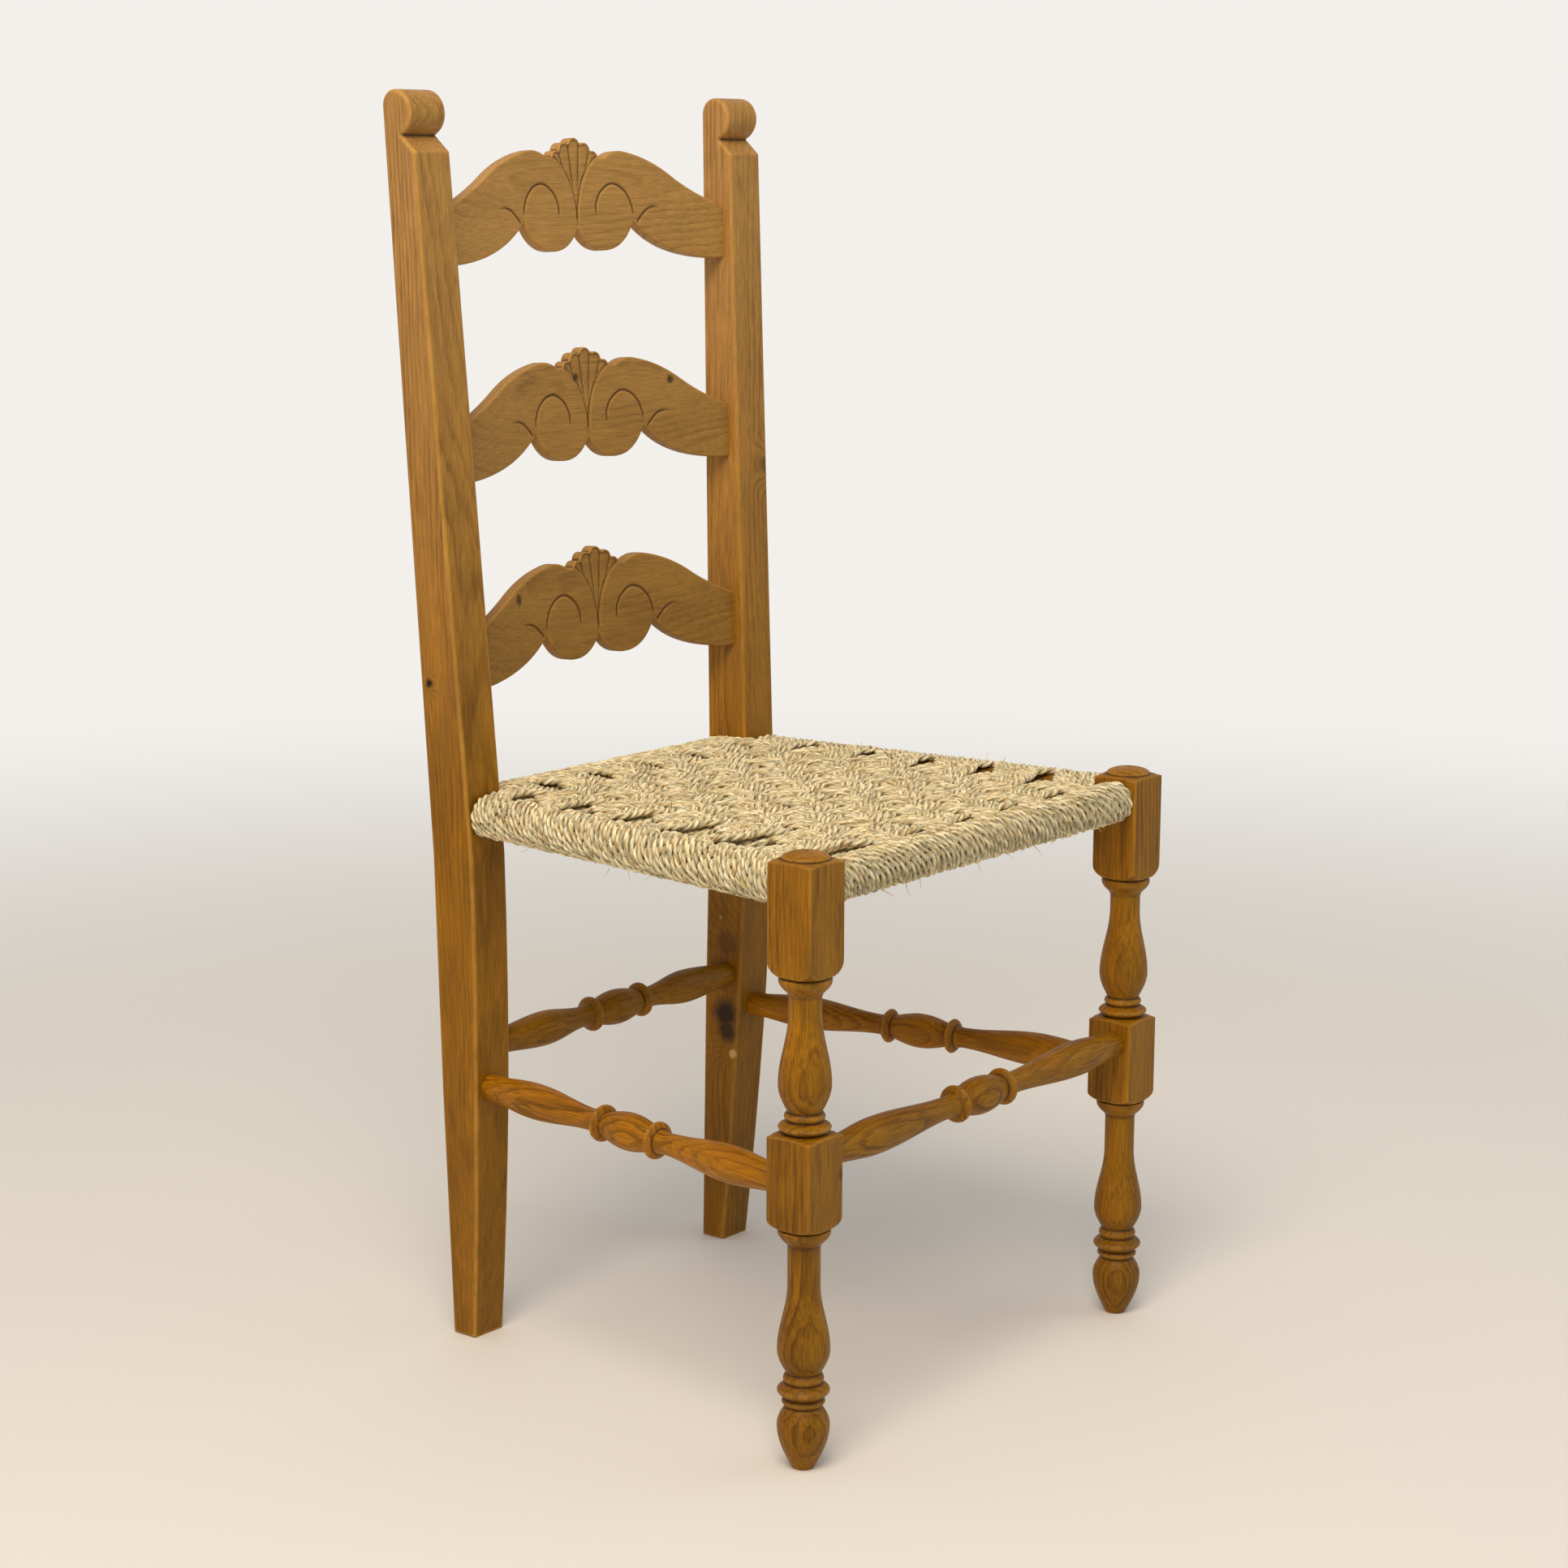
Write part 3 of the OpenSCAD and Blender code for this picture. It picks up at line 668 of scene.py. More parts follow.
def carving(u, v):
    """How deep the front of a slat is cut at each point."""
    p = np.column_stack([np.abs(u), v])
    size = bpy.context.scene.chair_sizes
    depth, width = size.carving_depth / MM, size.carving_width / MM
    scroll = distance_to(p, SCROLL)
    tick = distance_to(p, TICK)
    fan = distance_to(p, FAN_EDGE)
    start = np.clip((p[:, 1] - 6) / 10, 0.25, 1)
    cut = depth * start * np.clip(1 - scroll / width, 0, 1) ** 0.8
    taper = np.clip((97 - p[:, 0]) / 14, 0, 1)
    cut = np.maximum(cut, depth * 0.9 * taper * np.clip(1 - tick / width, 0, 1) ** 0.8)
    cut = np.maximum(cut, depth * 1.15 * np.clip(1 - fan / (width * 1.2), 0, 1) ** 0.8)
    # the shell lies below the shoulders, with a rib for each lobe
    edge_u = np.interp(p[:, 1], FAN_EDGE[::-1, 1], FAN_EDGE[::-1, 0])
    within = (p[:, 0] < edge_u) & (p[:, 1] > 10)
    angle = np.degrees(np.arctan2(p[:, 0], p[:, 1] - 6))
    reach = np.hypot(p[:, 0], p[:, 1] - 6)
    rib = np.abs(np.sin(np.pi * (angle / 12.4 + 0.5)))
    floor = 1.2 + np.clip((reach - 8) / 30, 0, 1) * 1.1 * (1 - rib) ** 1.8
    floor *= np.clip((edge_u - p[:, 0]) / 1.5, 0, 1)
    return np.where(within, np.maximum(cut, floor), cut)


def make_slat(name, height, material, seed):
    size = bpy.context.scene.chair_sizes
    outline = slat_outline(height)
    points, faces, front = board(outline, SLAT_THICK, size.slat_easing / MM, size.carving_pitch / MM)
    u, v, d = points.T
    wave = np.random.default_rng(seed).uniform(0, 6.28, 4)
    d = np.where(front, carving(u, v), d)
    lip = np.exp(-((d / 2) ** 2))
    d = d + 0.12 * lip * (1 + np.sin(u / 17 + wave[0]) * np.cos(v / 13 + wave[1]))
    reach = float(post_x(height)) - POST_WIDE / 2
    r = (reach**2 + SLAT_BOW**2) / (2 * SLAT_BOW)
    y = SLAT_BOW - r + np.sqrt((r + d) ** 2 - u**2)
    c, s = math.cos(FRONT_RAKE), math.sin(FRONT_RAKE)
    place = np.column_stack(
        [u, float(post_front(height)) + SLAT_SETBACK + y * c + v * s, height - y * s + v * c]
    )
    return make_piece(name, place, faces, material, [name])


# ---------------------------------------------------------------- posts


SCROLL_R = 17.3


def post_outline():
    head_y = float(post_front(HEAD_Z)) + SCROLL_R
    corner = float(post_back(HEAD_Z)) - head_y
    notch = HEAD_Z - 1.95 * SCROLL_R
    side = [(float(post_front(z)), z) for z in np.linspace(0, KNEE_Z, 9)]
    side += [(float(post_front(notch - 12)), notch - 12), (float(post_front(notch)) + 13, notch)]
    for a in np.radians(np.arange(235, 91, -11)):
        side.append((head_y + SCROLL_R * math.cos(a), HEAD_Z - SCROLL_R * (1 - math.sin(a))))
    for a in np.radians(np.arange(90, -1, -15)):
        side.append((head_y + corner * math.cos(a), HEAD_Z - corner * (1 - math.sin(a))))
    side += [(float(post_back(KNEE_Z)), KNEE_Z), (POST_BACK, 0)]
    return resample(np.array(side)[::-1], 2.0)


def make_post(name, side, material):
    size = bpy.context.scene.chair_sizes
    points, faces, _ = board(post_outline(), POST_WIDE, size.post_easing / MM, 4)
    y, z, d = points.T
    # below the stretchers the post tapers on its outer side
    low = z < TAPER_Z
    wide = np.where(low, FOOT_WIDE + z / TAPER_Z * (POST_WIDE - FOOT_WIDE), POST_WIDE)
    middle = np.where(low, post_x(0) + (post_x(TAPER_Z) - post_x(0)) * z / TAPER_Z, post_x(z))
    x = side * (middle + wide / 2 - wide * d / POST_WIDE)
    return make_piece(name, np.column_stack([x, y, z]), faces, material, [name])


# ---------------------------------------------------------------- turned pieces


def turned_heights(heights, gap):
    """The heights in order, with none nearer than the gap to the one below."""
    heights = np.unique(np.round(heights, 2))
    return heights[np.concatenate([[True], np.diff(heights) > gap])]


def make_leg(name, side, material):
    outline = leg_outline()
    heights = turned_heights([*np.arange(0, outline[-1, 0], 0.85), *outline[:, 0]], 0.25)
    profile = np.interp(heights, outline[:, 0], outline[:, 1])
    # points gather at the corners of the square blocks
    turn = np.linspace(0, 2 * math.pi, 112, endpoint=False)
    angle = turn + 0.62 * np.sin(4 * turn) / 4
    square = HALF_STOCK / (np.abs(np.cos(angle)) ** 22 + np.abs(np.sin(angle)) ** 22) ** (1 / 22)
    # the smaller of the square and the turned outline, blended where they meet
    a, b = np.meshgrid(square, profile)
    r = -np.log(np.exp(-2.2 * (a - HALF_STOCK)) + np.exp(-2.2 * (b - HALF_STOCK))) / 2.2 + HALF_STOCK
    points, faces = turning(r, heights, angle)
    points[:, 0] += side * LEG_X
    return make_piece(name, points, faces, material, [name])


def make_stretcher(name, a, b, material):
    a, b = np.array(a, float), np.array(b, float)
    length = float(np.linalg.norm(b - a))
    outline = stretcher_outline(length)
    heights = turned_heights([-4.0, length + 4, *np.arange(-3, length + 3, 1.4), *outline[:, 0]], 0.4)
    profile = np.interp(heights, outline[:, 0], outline[:, 1])
    turn = np.linspace(0, 2 * math.pi, 48, endpoint=False)
    points, faces = turning(np.repeat(profile[:, None], 48, 1), heights, turn)
    run = (b - a) / length
    across = np.cross(run, [0, 0, 1])
    across /= np.linalg.norm(across)
    up = np.cross(across, run)
    place = a + points @ np.array([across, up, run])
    return make_piece(name, place, faces, material, [name])


# ---------------------------------------------------------------- woven seat


COLUMNS = (-168, -117, -86, -56, -26, 4, 32, 61, 92, 123, 155)
COLUMN_CORDS = (8, 5, 5, 5, 5, 5, 5, 5, 5, 5)
ROWS = (347, 315, 286, 255, 225, 193, 163, 132, 106, 78, 50, 2)
ROW_CORDS = (5, 5, 5, 5, 5, 5, 5, 5, 5, 5, 8)
BAND_GAP, CORD_PITCH = 7.6, 6.0
WRAP = 14.4
TOP_Z, UNDER_Z = RAIL_Z + 12.2, RAIL_Z - 12.2
LIFT = 3.3
FRONT_Y, BACK_Y = -1.5, 370.26


def smooth(t):
    t = np.clip(t, 0, 1)
    return t * t * (3 - 2 * t)


def band(edges, counts):
    """For each cord its band, its place, and its number from the band's middle."""
    out = []
    for k, n in enumerate(counts):
        lo, hi = edges[k], edges[k + 1]
        pitch = min((abs(hi - lo) - BAND_GAP) / (n - 1), CORD_PITCH) * (1 if hi > lo else -1)
        for c in range(n):
            off = c - (n - 1) / 2
            out.append((k, (lo + hi) / 2 + off * pitch, off))
    return out


def weave_height(at, edges, first, half=8.5):
    """+1 where a cord lies on top and -1 where it lies below. It lies on top
    of every band that it crosses whose number and first add up to even."""
    sign = [1.0 if (first + k) % 2 == 0 else -1.0 for k in range(len(edges) - 1)]
    way = 1 if edges[-1] > edges[0] else -1
    out = np.full(len(at), sign[0])
    for edge, before, after in zip(edges[1:-1], sign, sign[1:]):
        out += (after - before) * smooth((way * (at - edge) + half) / (2 * half))
    return out


def pinch(at, edges, half=9.0):
    """How strongly a band is drawn together, at the places where it dives."""
    out = np.zeros(len(at))
    for e in edges[1:-1]:
        out = np.maximum(out, np.exp(-(((at - e) / half) ** 2)))
    return out


def parting(at, lines, strong):
    """Moves a cord away from the lines where the weave opens in a slit."""
    out = 0.0
    for b in lines:
        s = at - b
        out = out + strong * math.copysign(math.exp(-max(abs(s) - 3, 0) / 10), s)
    return out


def hump(at, low, high, last, far):
    """Rises from 0 at low to 1 at high, stays there to last and falls to 0 at far."""
    return np.minimum(smooth((at - low) / (high - low)), 1 - smooth((at - last) / (far - last)))


def side_rail_x(y):
    return 208.5 - (y - 20) * 35.75 / 329


def wander(rng, line, across, size=0.35, span=24):
    """Moves a cord sideways and up or down a little along its run."""
    step = np.linalg.norm(np.diff(line, axis=0), axis=1)
    run = np.concatenate([[0], np.cumsum(step)])
    whole = np.arange(int(run[-1]) + 2)
    count = int(run[-1] / span) + 4
    for way, much in ((across, size), ((0, 0, 1), size * 0.7)):
        drift = np.interp(whole, np.arange(count) * span, rng.normal(0, much, count))
        line = line + np.interp(run, whole, drift)[:, None] * np.array(way)
    return line


def round_rail(at, out, level, start, stop):
    """A cord's turn round a rail: how far out, where along it and how high."""
    a = np.radians(np.linspace(start, stop, 16))
    return at + out * WRAP * np.cos(a), np.full(16, level), RAIL_Z + WRAP * np.sin(a)


def warp_lines(rng):
    """The cords from front to back, on top and below."""
    tops, unders = [], []
    heights = [-r for r in ROWS]
    for number, (k, x, off) in enumerate(band(COLUMNS, COLUMN_CORDS)):
        y = np.arange(4.0, 357, 2.5)
        z = TOP_Z + LIFT * weave_height(-y, heights, k + 1)
        # at the rails every cord comes up to the same height
        for near in (np.clip((10 - y) / 12, 0, 1), np.clip((y - 346) / 10, 0, 1)):
            z = z * (1 - smooth(near)) + (RAIL_Z + WRAP) * smooth(near)
        front_x = -171.5 + number * 322 / 52
        back_x = -146.5 + number * 293 / 52
        lean = smooth((y - 300) / 50)
        xs = x + (front_x - x) * smooth((32 - y) / 30)
        xs = xs * (1 - lean) + back_x * lean
        xs = xs - off * 0.75 * pinch(y, ROWS)
        # the outer cords are drawn in where the weave opens at the sides
        for b in ROWS[1:-1:2]:
            xs = xs + 13 * np.exp(-(((y - b) / 10) ** 2)) * math.exp(-(x + 166) / 16)
        for b in ROWS[2:-1:2]:
            xs = xs - 7 * np.exp(-(((y - b) / 9) ** 2)) * math.exp((x - 155) / 11)
        opening = hump(y, 4, 12, 20, 44) + 0.8 * hump(y, 350, 343, 334, 318)
        xs = xs + parting(x, COLUMNS[1::2], 7.0) * opening
        turn, along, up = round_rail(FRONT_Y, -1, xs[0], -100, 95)
        front = np.column_stack([along, turn, up])
        turn, along, up = round_rail(BACK_Y, 1, xs[-1], 95, -100)
        back = np.column_stack([along, turn, up])
        line = wander(rng, np.vstack([front, np.column_stack([xs, y, z]), back]), (1, 0, 0))
        tops.append(line)

        y = np.arange(358.0, 6, -5)
        z = UNDER_Z - LIFT * weave_height(-y, heights, k + 1)
        near = smooth(np.clip((16 - y) / 10, 0, 1)) + smooth(np.clip((y - 344) / 10, 0, 1))
        z = z * (1 - near) + (RAIL_Z - WRAP) * near
        xs = np.interp(y, (6, 300, 358), (front_x, x, back_x))
        under = np.vstack([line[-2:-1], np.column_stack([xs, y, z]), line[1:2]])
        unders.append(wander(rng, under, (1, 0, 0)))
    # short turns round the front rail, beyond the woven field
    for x in (*np.arange(-188, -175, 5.3), *np.arange(156.5, 189, 6.0)):
        turn, along, up = round_rail(FRONT_Y, -1, x, -100, 95)
        tail = np.array([[x, 6, RAIL_Z + 12.6], [x, 12, RAIL_Z + 9.5], [x, 22, RAIL_Z + 8.5]])
        head = np.array([[x, 22, RAIL_Z - 8.5], [x, 10, RAIL_Z - 12]])
        tops.append(wander(rng, np.vstack([head, np.column_stack([along, turn, up]), tail]), (1, 0, 0)))
    return tops, unders


def weft_lines(rng):
    """The cords from side to side, on top and below."""
    tops, unders = [], []
    left, right = -171.0, 158.0
    for number, (j, y0, off) in enumerate(band(ROWS, ROW_CORDS)):
        rail_y = 344.0 - number * 320 / 57
        edge = float(side_rail_x(rail_y))
        x = np.arange(-edge + 3, edge - 2, 2.5)
        level = weave_height(x, COLUMNS, j)
        # from the top of the side rail each cord runs straight to the weave
        left_run, right_run = max(edge - 8 - 163, 9), max(edge - 8 - 151, 9)
        margin = np.clip((-x - 163) / left_run, 0, 1) + np.clip((x - 151) / right_run, 0, 1)
        z = (TOP_Z + LIFT * level) * (1 - margin) + (RAIL_Z + WRAP) * margin
        # beside a slit the nearer band sags and the farther one stands up
        beside = sum(math.exp(-max(abs(y0 - b) - 3, 0) / 6) for b in ROWS[1::2])
        z = z + (1.2 if j % 2 == 0 else -4.2) * beside * hump(x, 7 - edge, 18 - edge, -148, -132)
        # the first cords behind the front rail ride up over the turns round it
        if y0 < 20:
            z = z + 2.6 * math.exp(-(((y0 - 4) / 6) ** 2)) * (0.5 + 0.5 * level) * (1 - margin)
        field = smooth((x + edge - 8) / (left + edge - 2)) * smooth((edge - 8 - x) / (edge - 2 - right))
        ys = rail_y * (1 - field) + y0 * field
        ys = ys + off * 0.75 * pinch(x, COLUMNS)
        for c in COLUMNS[1:-1:2]:
            ys = ys + 6 * np.exp(-(((x - c) / 8) ** 2)) * math.exp((2 - y0) / 9)
        ys = ys + parting(y0, ROWS[1::2], 10.5) * hump(x, 2 - edge, 12 - edge, -148, -130)
        ys = ys + parting(y0, ROWS[2::2], 8.0) * hump(x, edge - 2, edge - 14, 150, 130)
        start = np.column_stack(round_rail(-edge, -1, ys[0], -100, 90))
        end = np.column_stack(round_rail(edge, 1, ys[-1], 90, -100))
        line = wander(rng, np.vstack([start, np.column_stack([x, ys, z]), end]), (0, 1, 0))
        tops.append(line)

        x = np.arange(edge - 6, -edge + 6, -5)
        z = UNDER_Z - LIFT * weave_height(x, COLUMNS, j)
        margin = np.clip((COLUMNS[0] + 4 - x) / 9, 0, 1) + np.clip((x - COLUMNS[-1] + 4) / 9, 0, 1)
        z = z * (1 - smooth(margin)) + (RAIL_Z - WRAP) * smooth(margin)
        field = smooth((x + edge - 8) / (edge - 173)) * smooth((edge - 8 - x) / (edge - 160))
        ys = rail_y * (1 - field) + y0 * field
        under = np.vstack([line[-2:-1], np.column_stack([x, ys, z]), line[1:2]])
        unders.append(wander(rng, under, (0, 1, 0)))
    return tops, unders


def new_tree(name, geometry, floats):
    """A geometry tree with named inputs, and the sockets that it is given."""
    tree = bpy.data.node_groups.new(name, "GeometryNodeTree")
    face = tree.interface
    face.new_socket("Geometry", in_out="OUTPUT", socket_type="NodeSocketGeometry")
    face.new_socket(geometry, in_out="INPUT", socket_type="NodeSocketGeometry")
    for label in floats:
        face.new_socket(label, in_out="INPUT", socket_type="NodeSocketFloat")
    face.new_socket("Seed", in_out="INPUT", socket_type="NodeSocketInt")
    return tree, add(tree, "NodeGroupInput").outputs


def end_tree(tree, solid, material):
    """Ends a tree: everything made real and given its material."""
    solid = add(tree, "GeometryNodeRealizeInstances", {0: solid}).outputs[0]
    solid = add(tree, "GeometryNodeSetMaterial", {"Geometry": solid, "Material": material}).outputs[0]
    tree.links.new(solid, add(tree, "NodeGroupOutput").inputs[0])
    return tree


def cord_tree(material):
    """Geometry nodes that lay a twisted two-ply cord along every line."""
    floats = ("Cord radius", "Length of a twist", "Step along the cord", "Unevenness")
    tree, given = new_tree("Twisted cord", "Lines", floats)
    curve = add(tree, "GeometryNodeMeshToCurve", {0: given["Lines"]}).outputs[0]
    length = add(tree, "GeometryNodeSplineParameter").outputs["Length"]
    sockets = {0: curve, "Length": given["Step along the cord"]}
    curve = add(tree, "GeometryNodeResampleCurve", sockets, mode="LENGTH").outputs[0]
    which = add(tree, "GeometryNodeInputNamedAttribute", {"Name": "which"}, data_type="FLOAT").outputs[0]
    number = add(tree, "ShaderNodeMath", {0: which, 1: 0.5}, operation="ADD").outputs[0]
    sockets = {2: 0.0, 3: 1.0, "ID": number, "Seed": given["Seed"]}
    chance = add(tree, "FunctionNodeRandomValue", sockets, data_type="FLOAT").outputs[1]
    for label, value in (("run", length), ("cord", chance)):
        sockets = {0: curve, "Name": label, "Value": value}
        stored = add(tree, "GeometryNodeStoreNamedAttribute", sockets, data_type="FLOAT", domain="POINT")
        curve = stored.outputs[0]
    sockets = {0: length, 1: given["Length of a twist"]}
    turns = add(tree, "ShaderNodeMath", sockets, operation="DIVIDE").outputs[0]
    turns = add(tree, "ShaderNodeMath", {0: turns, 1: chance}, operation="ADD").outputs[0]
    place = add(tree, "GeometryNodeInputPosition").outputs[0]
    drift = add(tree, "ShaderNodeTexNoise", {"Vector": place, "Scale": 30.0, "Detail": 1.0}).outputs["Fac"]
    turns = add(tree, "ShaderNodeMath", {0: drift, 1: 1.4, 2: turns}, operation="MULTIPLY_ADD").outputs[0]
    tilt = add(tree, "ShaderNodeMath", {0: turns, 1: -2 * math.pi}, operation="MULTIPLY").outputs[0]
    curve = add(tree, "GeometryNodeSetCurveTilt", {"Curve": curve, "Tilt": tilt}).outputs[0]
    lumps = add(tree, "ShaderNodeTexNoise", {"Vector": place, "Scale": 110.0, "Detail": 1.0}).outputs["Fac"]
    lumps = add(tree, "ShaderNodeMath", {0: lumps, 1: 0.5}, operation="SUBTRACT").outputs[0]
    sockets = {0: lumps, 1: given["Unevenness"], 2: 1.0}
    thick = add(tree, "ShaderNodeMath", sockets, operation="MULTIPLY_ADD").outputs[0]
    thick = add(tree, "ShaderNodeMath", {0: thick, 1: given["Cord radius"]}, operation="MULTIPLY").outputs[0]
    # two plies side by side: a circle drawn in at its waist
    circle = add(tree, "GeometryNodeCurvePrimitiveCircle", {"Resolution": 12, "Radius": 1.0}).outputs[0]
    spot = add(tree, "GeometryNodeInputPosition").outputs[0]
    x = add(tree, "ShaderNodeSeparateXYZ", {0: spot}).outputs[0]
    shape = add(tree, "ShaderNodeMath", {0: x, 1: x}, operation="MULTIPLY").outputs[0]
    shape = add(tree, "ShaderNodeMath", {0: shape, 1: 0.8, 2: 0.2}, operation="MULTIPLY_ADD").outputs[0]
    shape = add(tree, "ShaderNodeMath", {0: shape}, operation="SQRT").outputs[0]
    moved = add(tree, "ShaderNodeVectorMath", {0: spot, 3: shape}, operation="SCALE").outputs[0]
    circle = add(tree, "GeometryNodeSetPosition", {"Geometry": circle, "Position": moved}).outputs[0]
    sockets = {0: circle, "Name": "ring", "Value": spot}
    circle = add(
        tree, "GeometryNodeStoreNamedAttribute", sockets, data_type="FLOAT_VECTOR", domain="POINT"
    ).outputs[0]
    sockets = {"Curve": curve, "Profile Curve": circle, "Scale": thick, "Fill Caps": True}
    solid = add(tree, "GeometryNodeCurveToMesh", sockets).outputs[0]
    solid = add(tree, "GeometryNodeSetShadeSmooth", {0: solid}).outputs[0]
    return end_tree(tree, solid, material)


def fray_tree(material):
    """Geometry nodes that stand thin grass ends on the points of a mesh."""
    tree, given = new_tree("Frayed ends", "Roots", ("Length of an end", "Thickness"))
    line = add(tree, "GeometryNodeCurvePrimitiveLine", {"Start": (0, 0, 0), "End": (0, 0, 1)}).outputs[0]
    line = add(tree, "GeometryNodeResampleCurve", {0: line, "Count": 6}, mode="COUNT").outputs[0]
    along = add(tree, "GeometryNodeSplineParameter").outputs["Factor"]
    hook = add(tree, "ShaderNodeMath", {0: along, 1: 2.0}, operation="POWER").outputs[0]
    hook = add(tree, "ShaderNodeMath", {0: hook, 1: 0.22}, operation="MULTIPLY").outputs[0]
    droop = add(tree, "ShaderNodeCombineXYZ", {0: hook}).outputs[0]
    line = add(tree, "GeometryNodeSetPosition", {"Geometry": line, "Offset": droop}).outputs[0]
    ring = add(tree, "GeometryNodeCurvePrimitiveCircle", {"Resolution": 5, "Radius": 1.0}).outputs[0]
    thin = add(tree, "ShaderNodeMath", {0: along, 1: -0.7, 2: 1.0}, operation="MULTIPLY_ADD").outputs[0]
    thin = add(tree, "ShaderNodeMath", {0: thin, 1: given["Thickness"]}, operation="MULTIPLY").outputs[0]
    sockets = {"Curve": line, "Profile Curve": ring, "Scale": thin, "Fill Caps": True}
    hair = add(tree, "GeometryNodeCurveToMesh", sockets).outputs[0]
    way = add(tree, "GeometryNodeInputNamedAttribute", {"Name": "way"}, data_type="FLOAT_VECTOR").outputs[0]
    aim = add(tree, "FunctionNodeAlignRotationToVector", {"Vector": way}, axis="Z").outputs[0]
    sockets = {2: 0.45, 3: 1.0, "Seed": given["Seed"]}
    size = add(tree, "FunctionNodeRandomValue", sockets, data_type="FLOAT").outputs[1]
    sockets = {0: size, 1: given["Length of an end"]}
    size = add(tree, "ShaderNodeMath", sockets, operation="MULTIPLY").outputs[0]
    sockets = {"Points": given["Roots"], "Instance": hair, "Rotation": aim, "Scale": size}
    return end_tree(tree, add(tree, "GeometryNodeInstanceOnPoints", sockets).outputs[0], material)


FRAY_R = 15.5
# longer ends that hang below the left and front edges: root and way
LONG_ENDS = (
    ((-203, 190, 418.5), (-0.45, 0.15, -1)),
    ((-202, 172, 419), (0.3, 0.2, -1)),
    ((62, -9, 419), (0.9, -0.3, -0.6)),
)


def fray_roots():
    """Where grass ends stand out of the seat, and which way each points."""
    rng = np.random.default_rng(77)
    roots, ways = [], []
    for _ in range(90):
        x, y = rng.uniform(-165, 165), rng.uniform(10, 345)
        roots.append((x, y, RAIL_Z + FRAY_R))
        ways.append((rng.normal(0, 1), rng.normal(0, 1), rng.uniform(0.15, 0.8)))
    for _ in range(60):
        y = rng.uniform(30, 335)
        side = rng.choice((-1, 1))
        a = rng.uniform(-1.4, 1.2)
        roots.append((side * (side_rail_x(y) + FRAY_R * math.cos(a)), y, RAIL_Z + FRAY_R * math.sin(a)))
        ways.append((side * math.cos(a), rng.normal(0, 0.9), math.sin(a) + rng.normal(0, 0.4)))
    for _ in range(50):
        a = rng.uniform(-1.4, 1.2)
        roots.append((rng.uniform(-180, 180), FRONT_Y - FRAY_R * math.cos(a), RAIL_Z + FRAY_R * math.sin(a)))
        ways.append((rng.normal(0, 0.9), -math.cos(a), math.sin(a) + rng.normal(0, 0.4)))
    for root, way in LONG_ENDS:
        roots.append(root)
        ways.append(way)
    return roots, ways


def lay_cords(name, lines, tree, values, nodes):
    """One piece of cords, from its lines and the cord tree."""
    points, edges, which = [], [], []
    for k, line in enumerate(lines):
        start = len(points)
        points += [(x * MM, (y + LEG_Y) * MM, z * MM) for x, y, z in line]
        edges += [(start + i, start + i + 1) for i in range(len(line) - 1)]
        which += [float(k)] * len(line)
    mesh = bpy.data.meshes.new(name + "_lines")
    mesh.from_pydata(points, edges, [])
    mesh.attributes.new("which", "FLOAT", "POINT").data.foreach_set("value", which)
    return grow(name, mesh, tree, values, nodes)


def stand_ends(name, roots, ways, tree, values):
    """One piece of frayed grass ends, from their roots and the fray tree."""
    mesh = bpy.data.meshes.new(name + "_roots")
    mesh.from_pydata([(x * MM, (y + LEG_Y) * MM, z * MM) for x, y, z in roots], [], [])
    mesh.attributes.new("way", "FLOAT_VECTOR", "POINT").data.foreach_set("vector", np.ravel(ways))
    return grow(name, mesh, tree, values, [])


def grow(name, mesh, tree, values, nodes):
    """The plain mesh that a tree makes of a mesh, as a finished piece."""
    carrier = bpy.data.objects.new(name + "_source", mesh)
    bpy.context.scene.collection.objects.link(carrier)
    modifier = carrier.modifiers.new("Cords", "NODES")
    modifier.node_group = tree
    sockets = {s.name: s.identifier for s in tree.interface.items_tree if s.in_out == "INPUT"}
    for label, value in values.items():
        modifier[sockets[label]] = value
    bpy.context.view_layer.update()
    solid = carrier.evaluated_get(bpy.context.evaluated_depsgraph_get())
    made = bpy.data.meshes.new_from_object(solid)
    made.name = name
    carrier.modifiers.clear()
    bpy.data.objects.remove(carrier)
    bpy.data.meshes.remove(mesh)
    return finish_piece(name, made, nodes)


# ---------------------------------------------------------------- settings


def metres(name, description, default, least, most):
    return FloatProperty(
        name=name, description=description, default=default, min=least, max=most, unit="LENGTH"
    )


class ChairSizes(bpy.types.PropertyGroup):
    post_easing: metres(
        "Easing of the posts", "Radius of the rounded edges of the back posts", 0.0028, 0.0005, 0.005
    )
    slat_easing: metres(
        "Easing of the slats", "Radius of the rounded edges of the slats", 0.0016, 0.0005, 0.004
    )
    carving_depth: metres("Depth of the carving", "Depth of the cut lines on the slats", 0.0015, 0.0, 0.003)
    carving_width: metres(
        "Width of the carving", "Half the width of the cut lines on the slats", 0.0016, 0.0008, 0.004
    )
    carving_pitch: metres(
        "Fineness of the carving", "Distance between the points that the carving moves", 0.001, 0.0007, 0.004
    )
    cord_radius: metres("Cord radius", "Radius of the seat's twisted cord", 0.00295, 0.002, 0.0035)
    cord_twist: metres(
        "Length of a twist", "Length of cord in which a ply goes once round", 0.016, 0.008, 0.06
    )
    cord_step: metres(
        "Step along the cord", "Distance between the rings of points of a cord", 0.0023, 0.001, 0.006
    )
    cord_unevenness: FloatProperty(
        name="Unevenness of the cord", description="How much the cord swells and thins along its run",
        default=0.55, min=0.0, max=1.0,
    )
    fray_length: metres(
        "Frayed ends", "Length of the longest grass ends that stand out of the seat", 0.013, 0.0, 0.03
    )
    cord_seed: IntProperty(name="Seed", description="Seed of the cord's twist and colours", default=7, min=0)


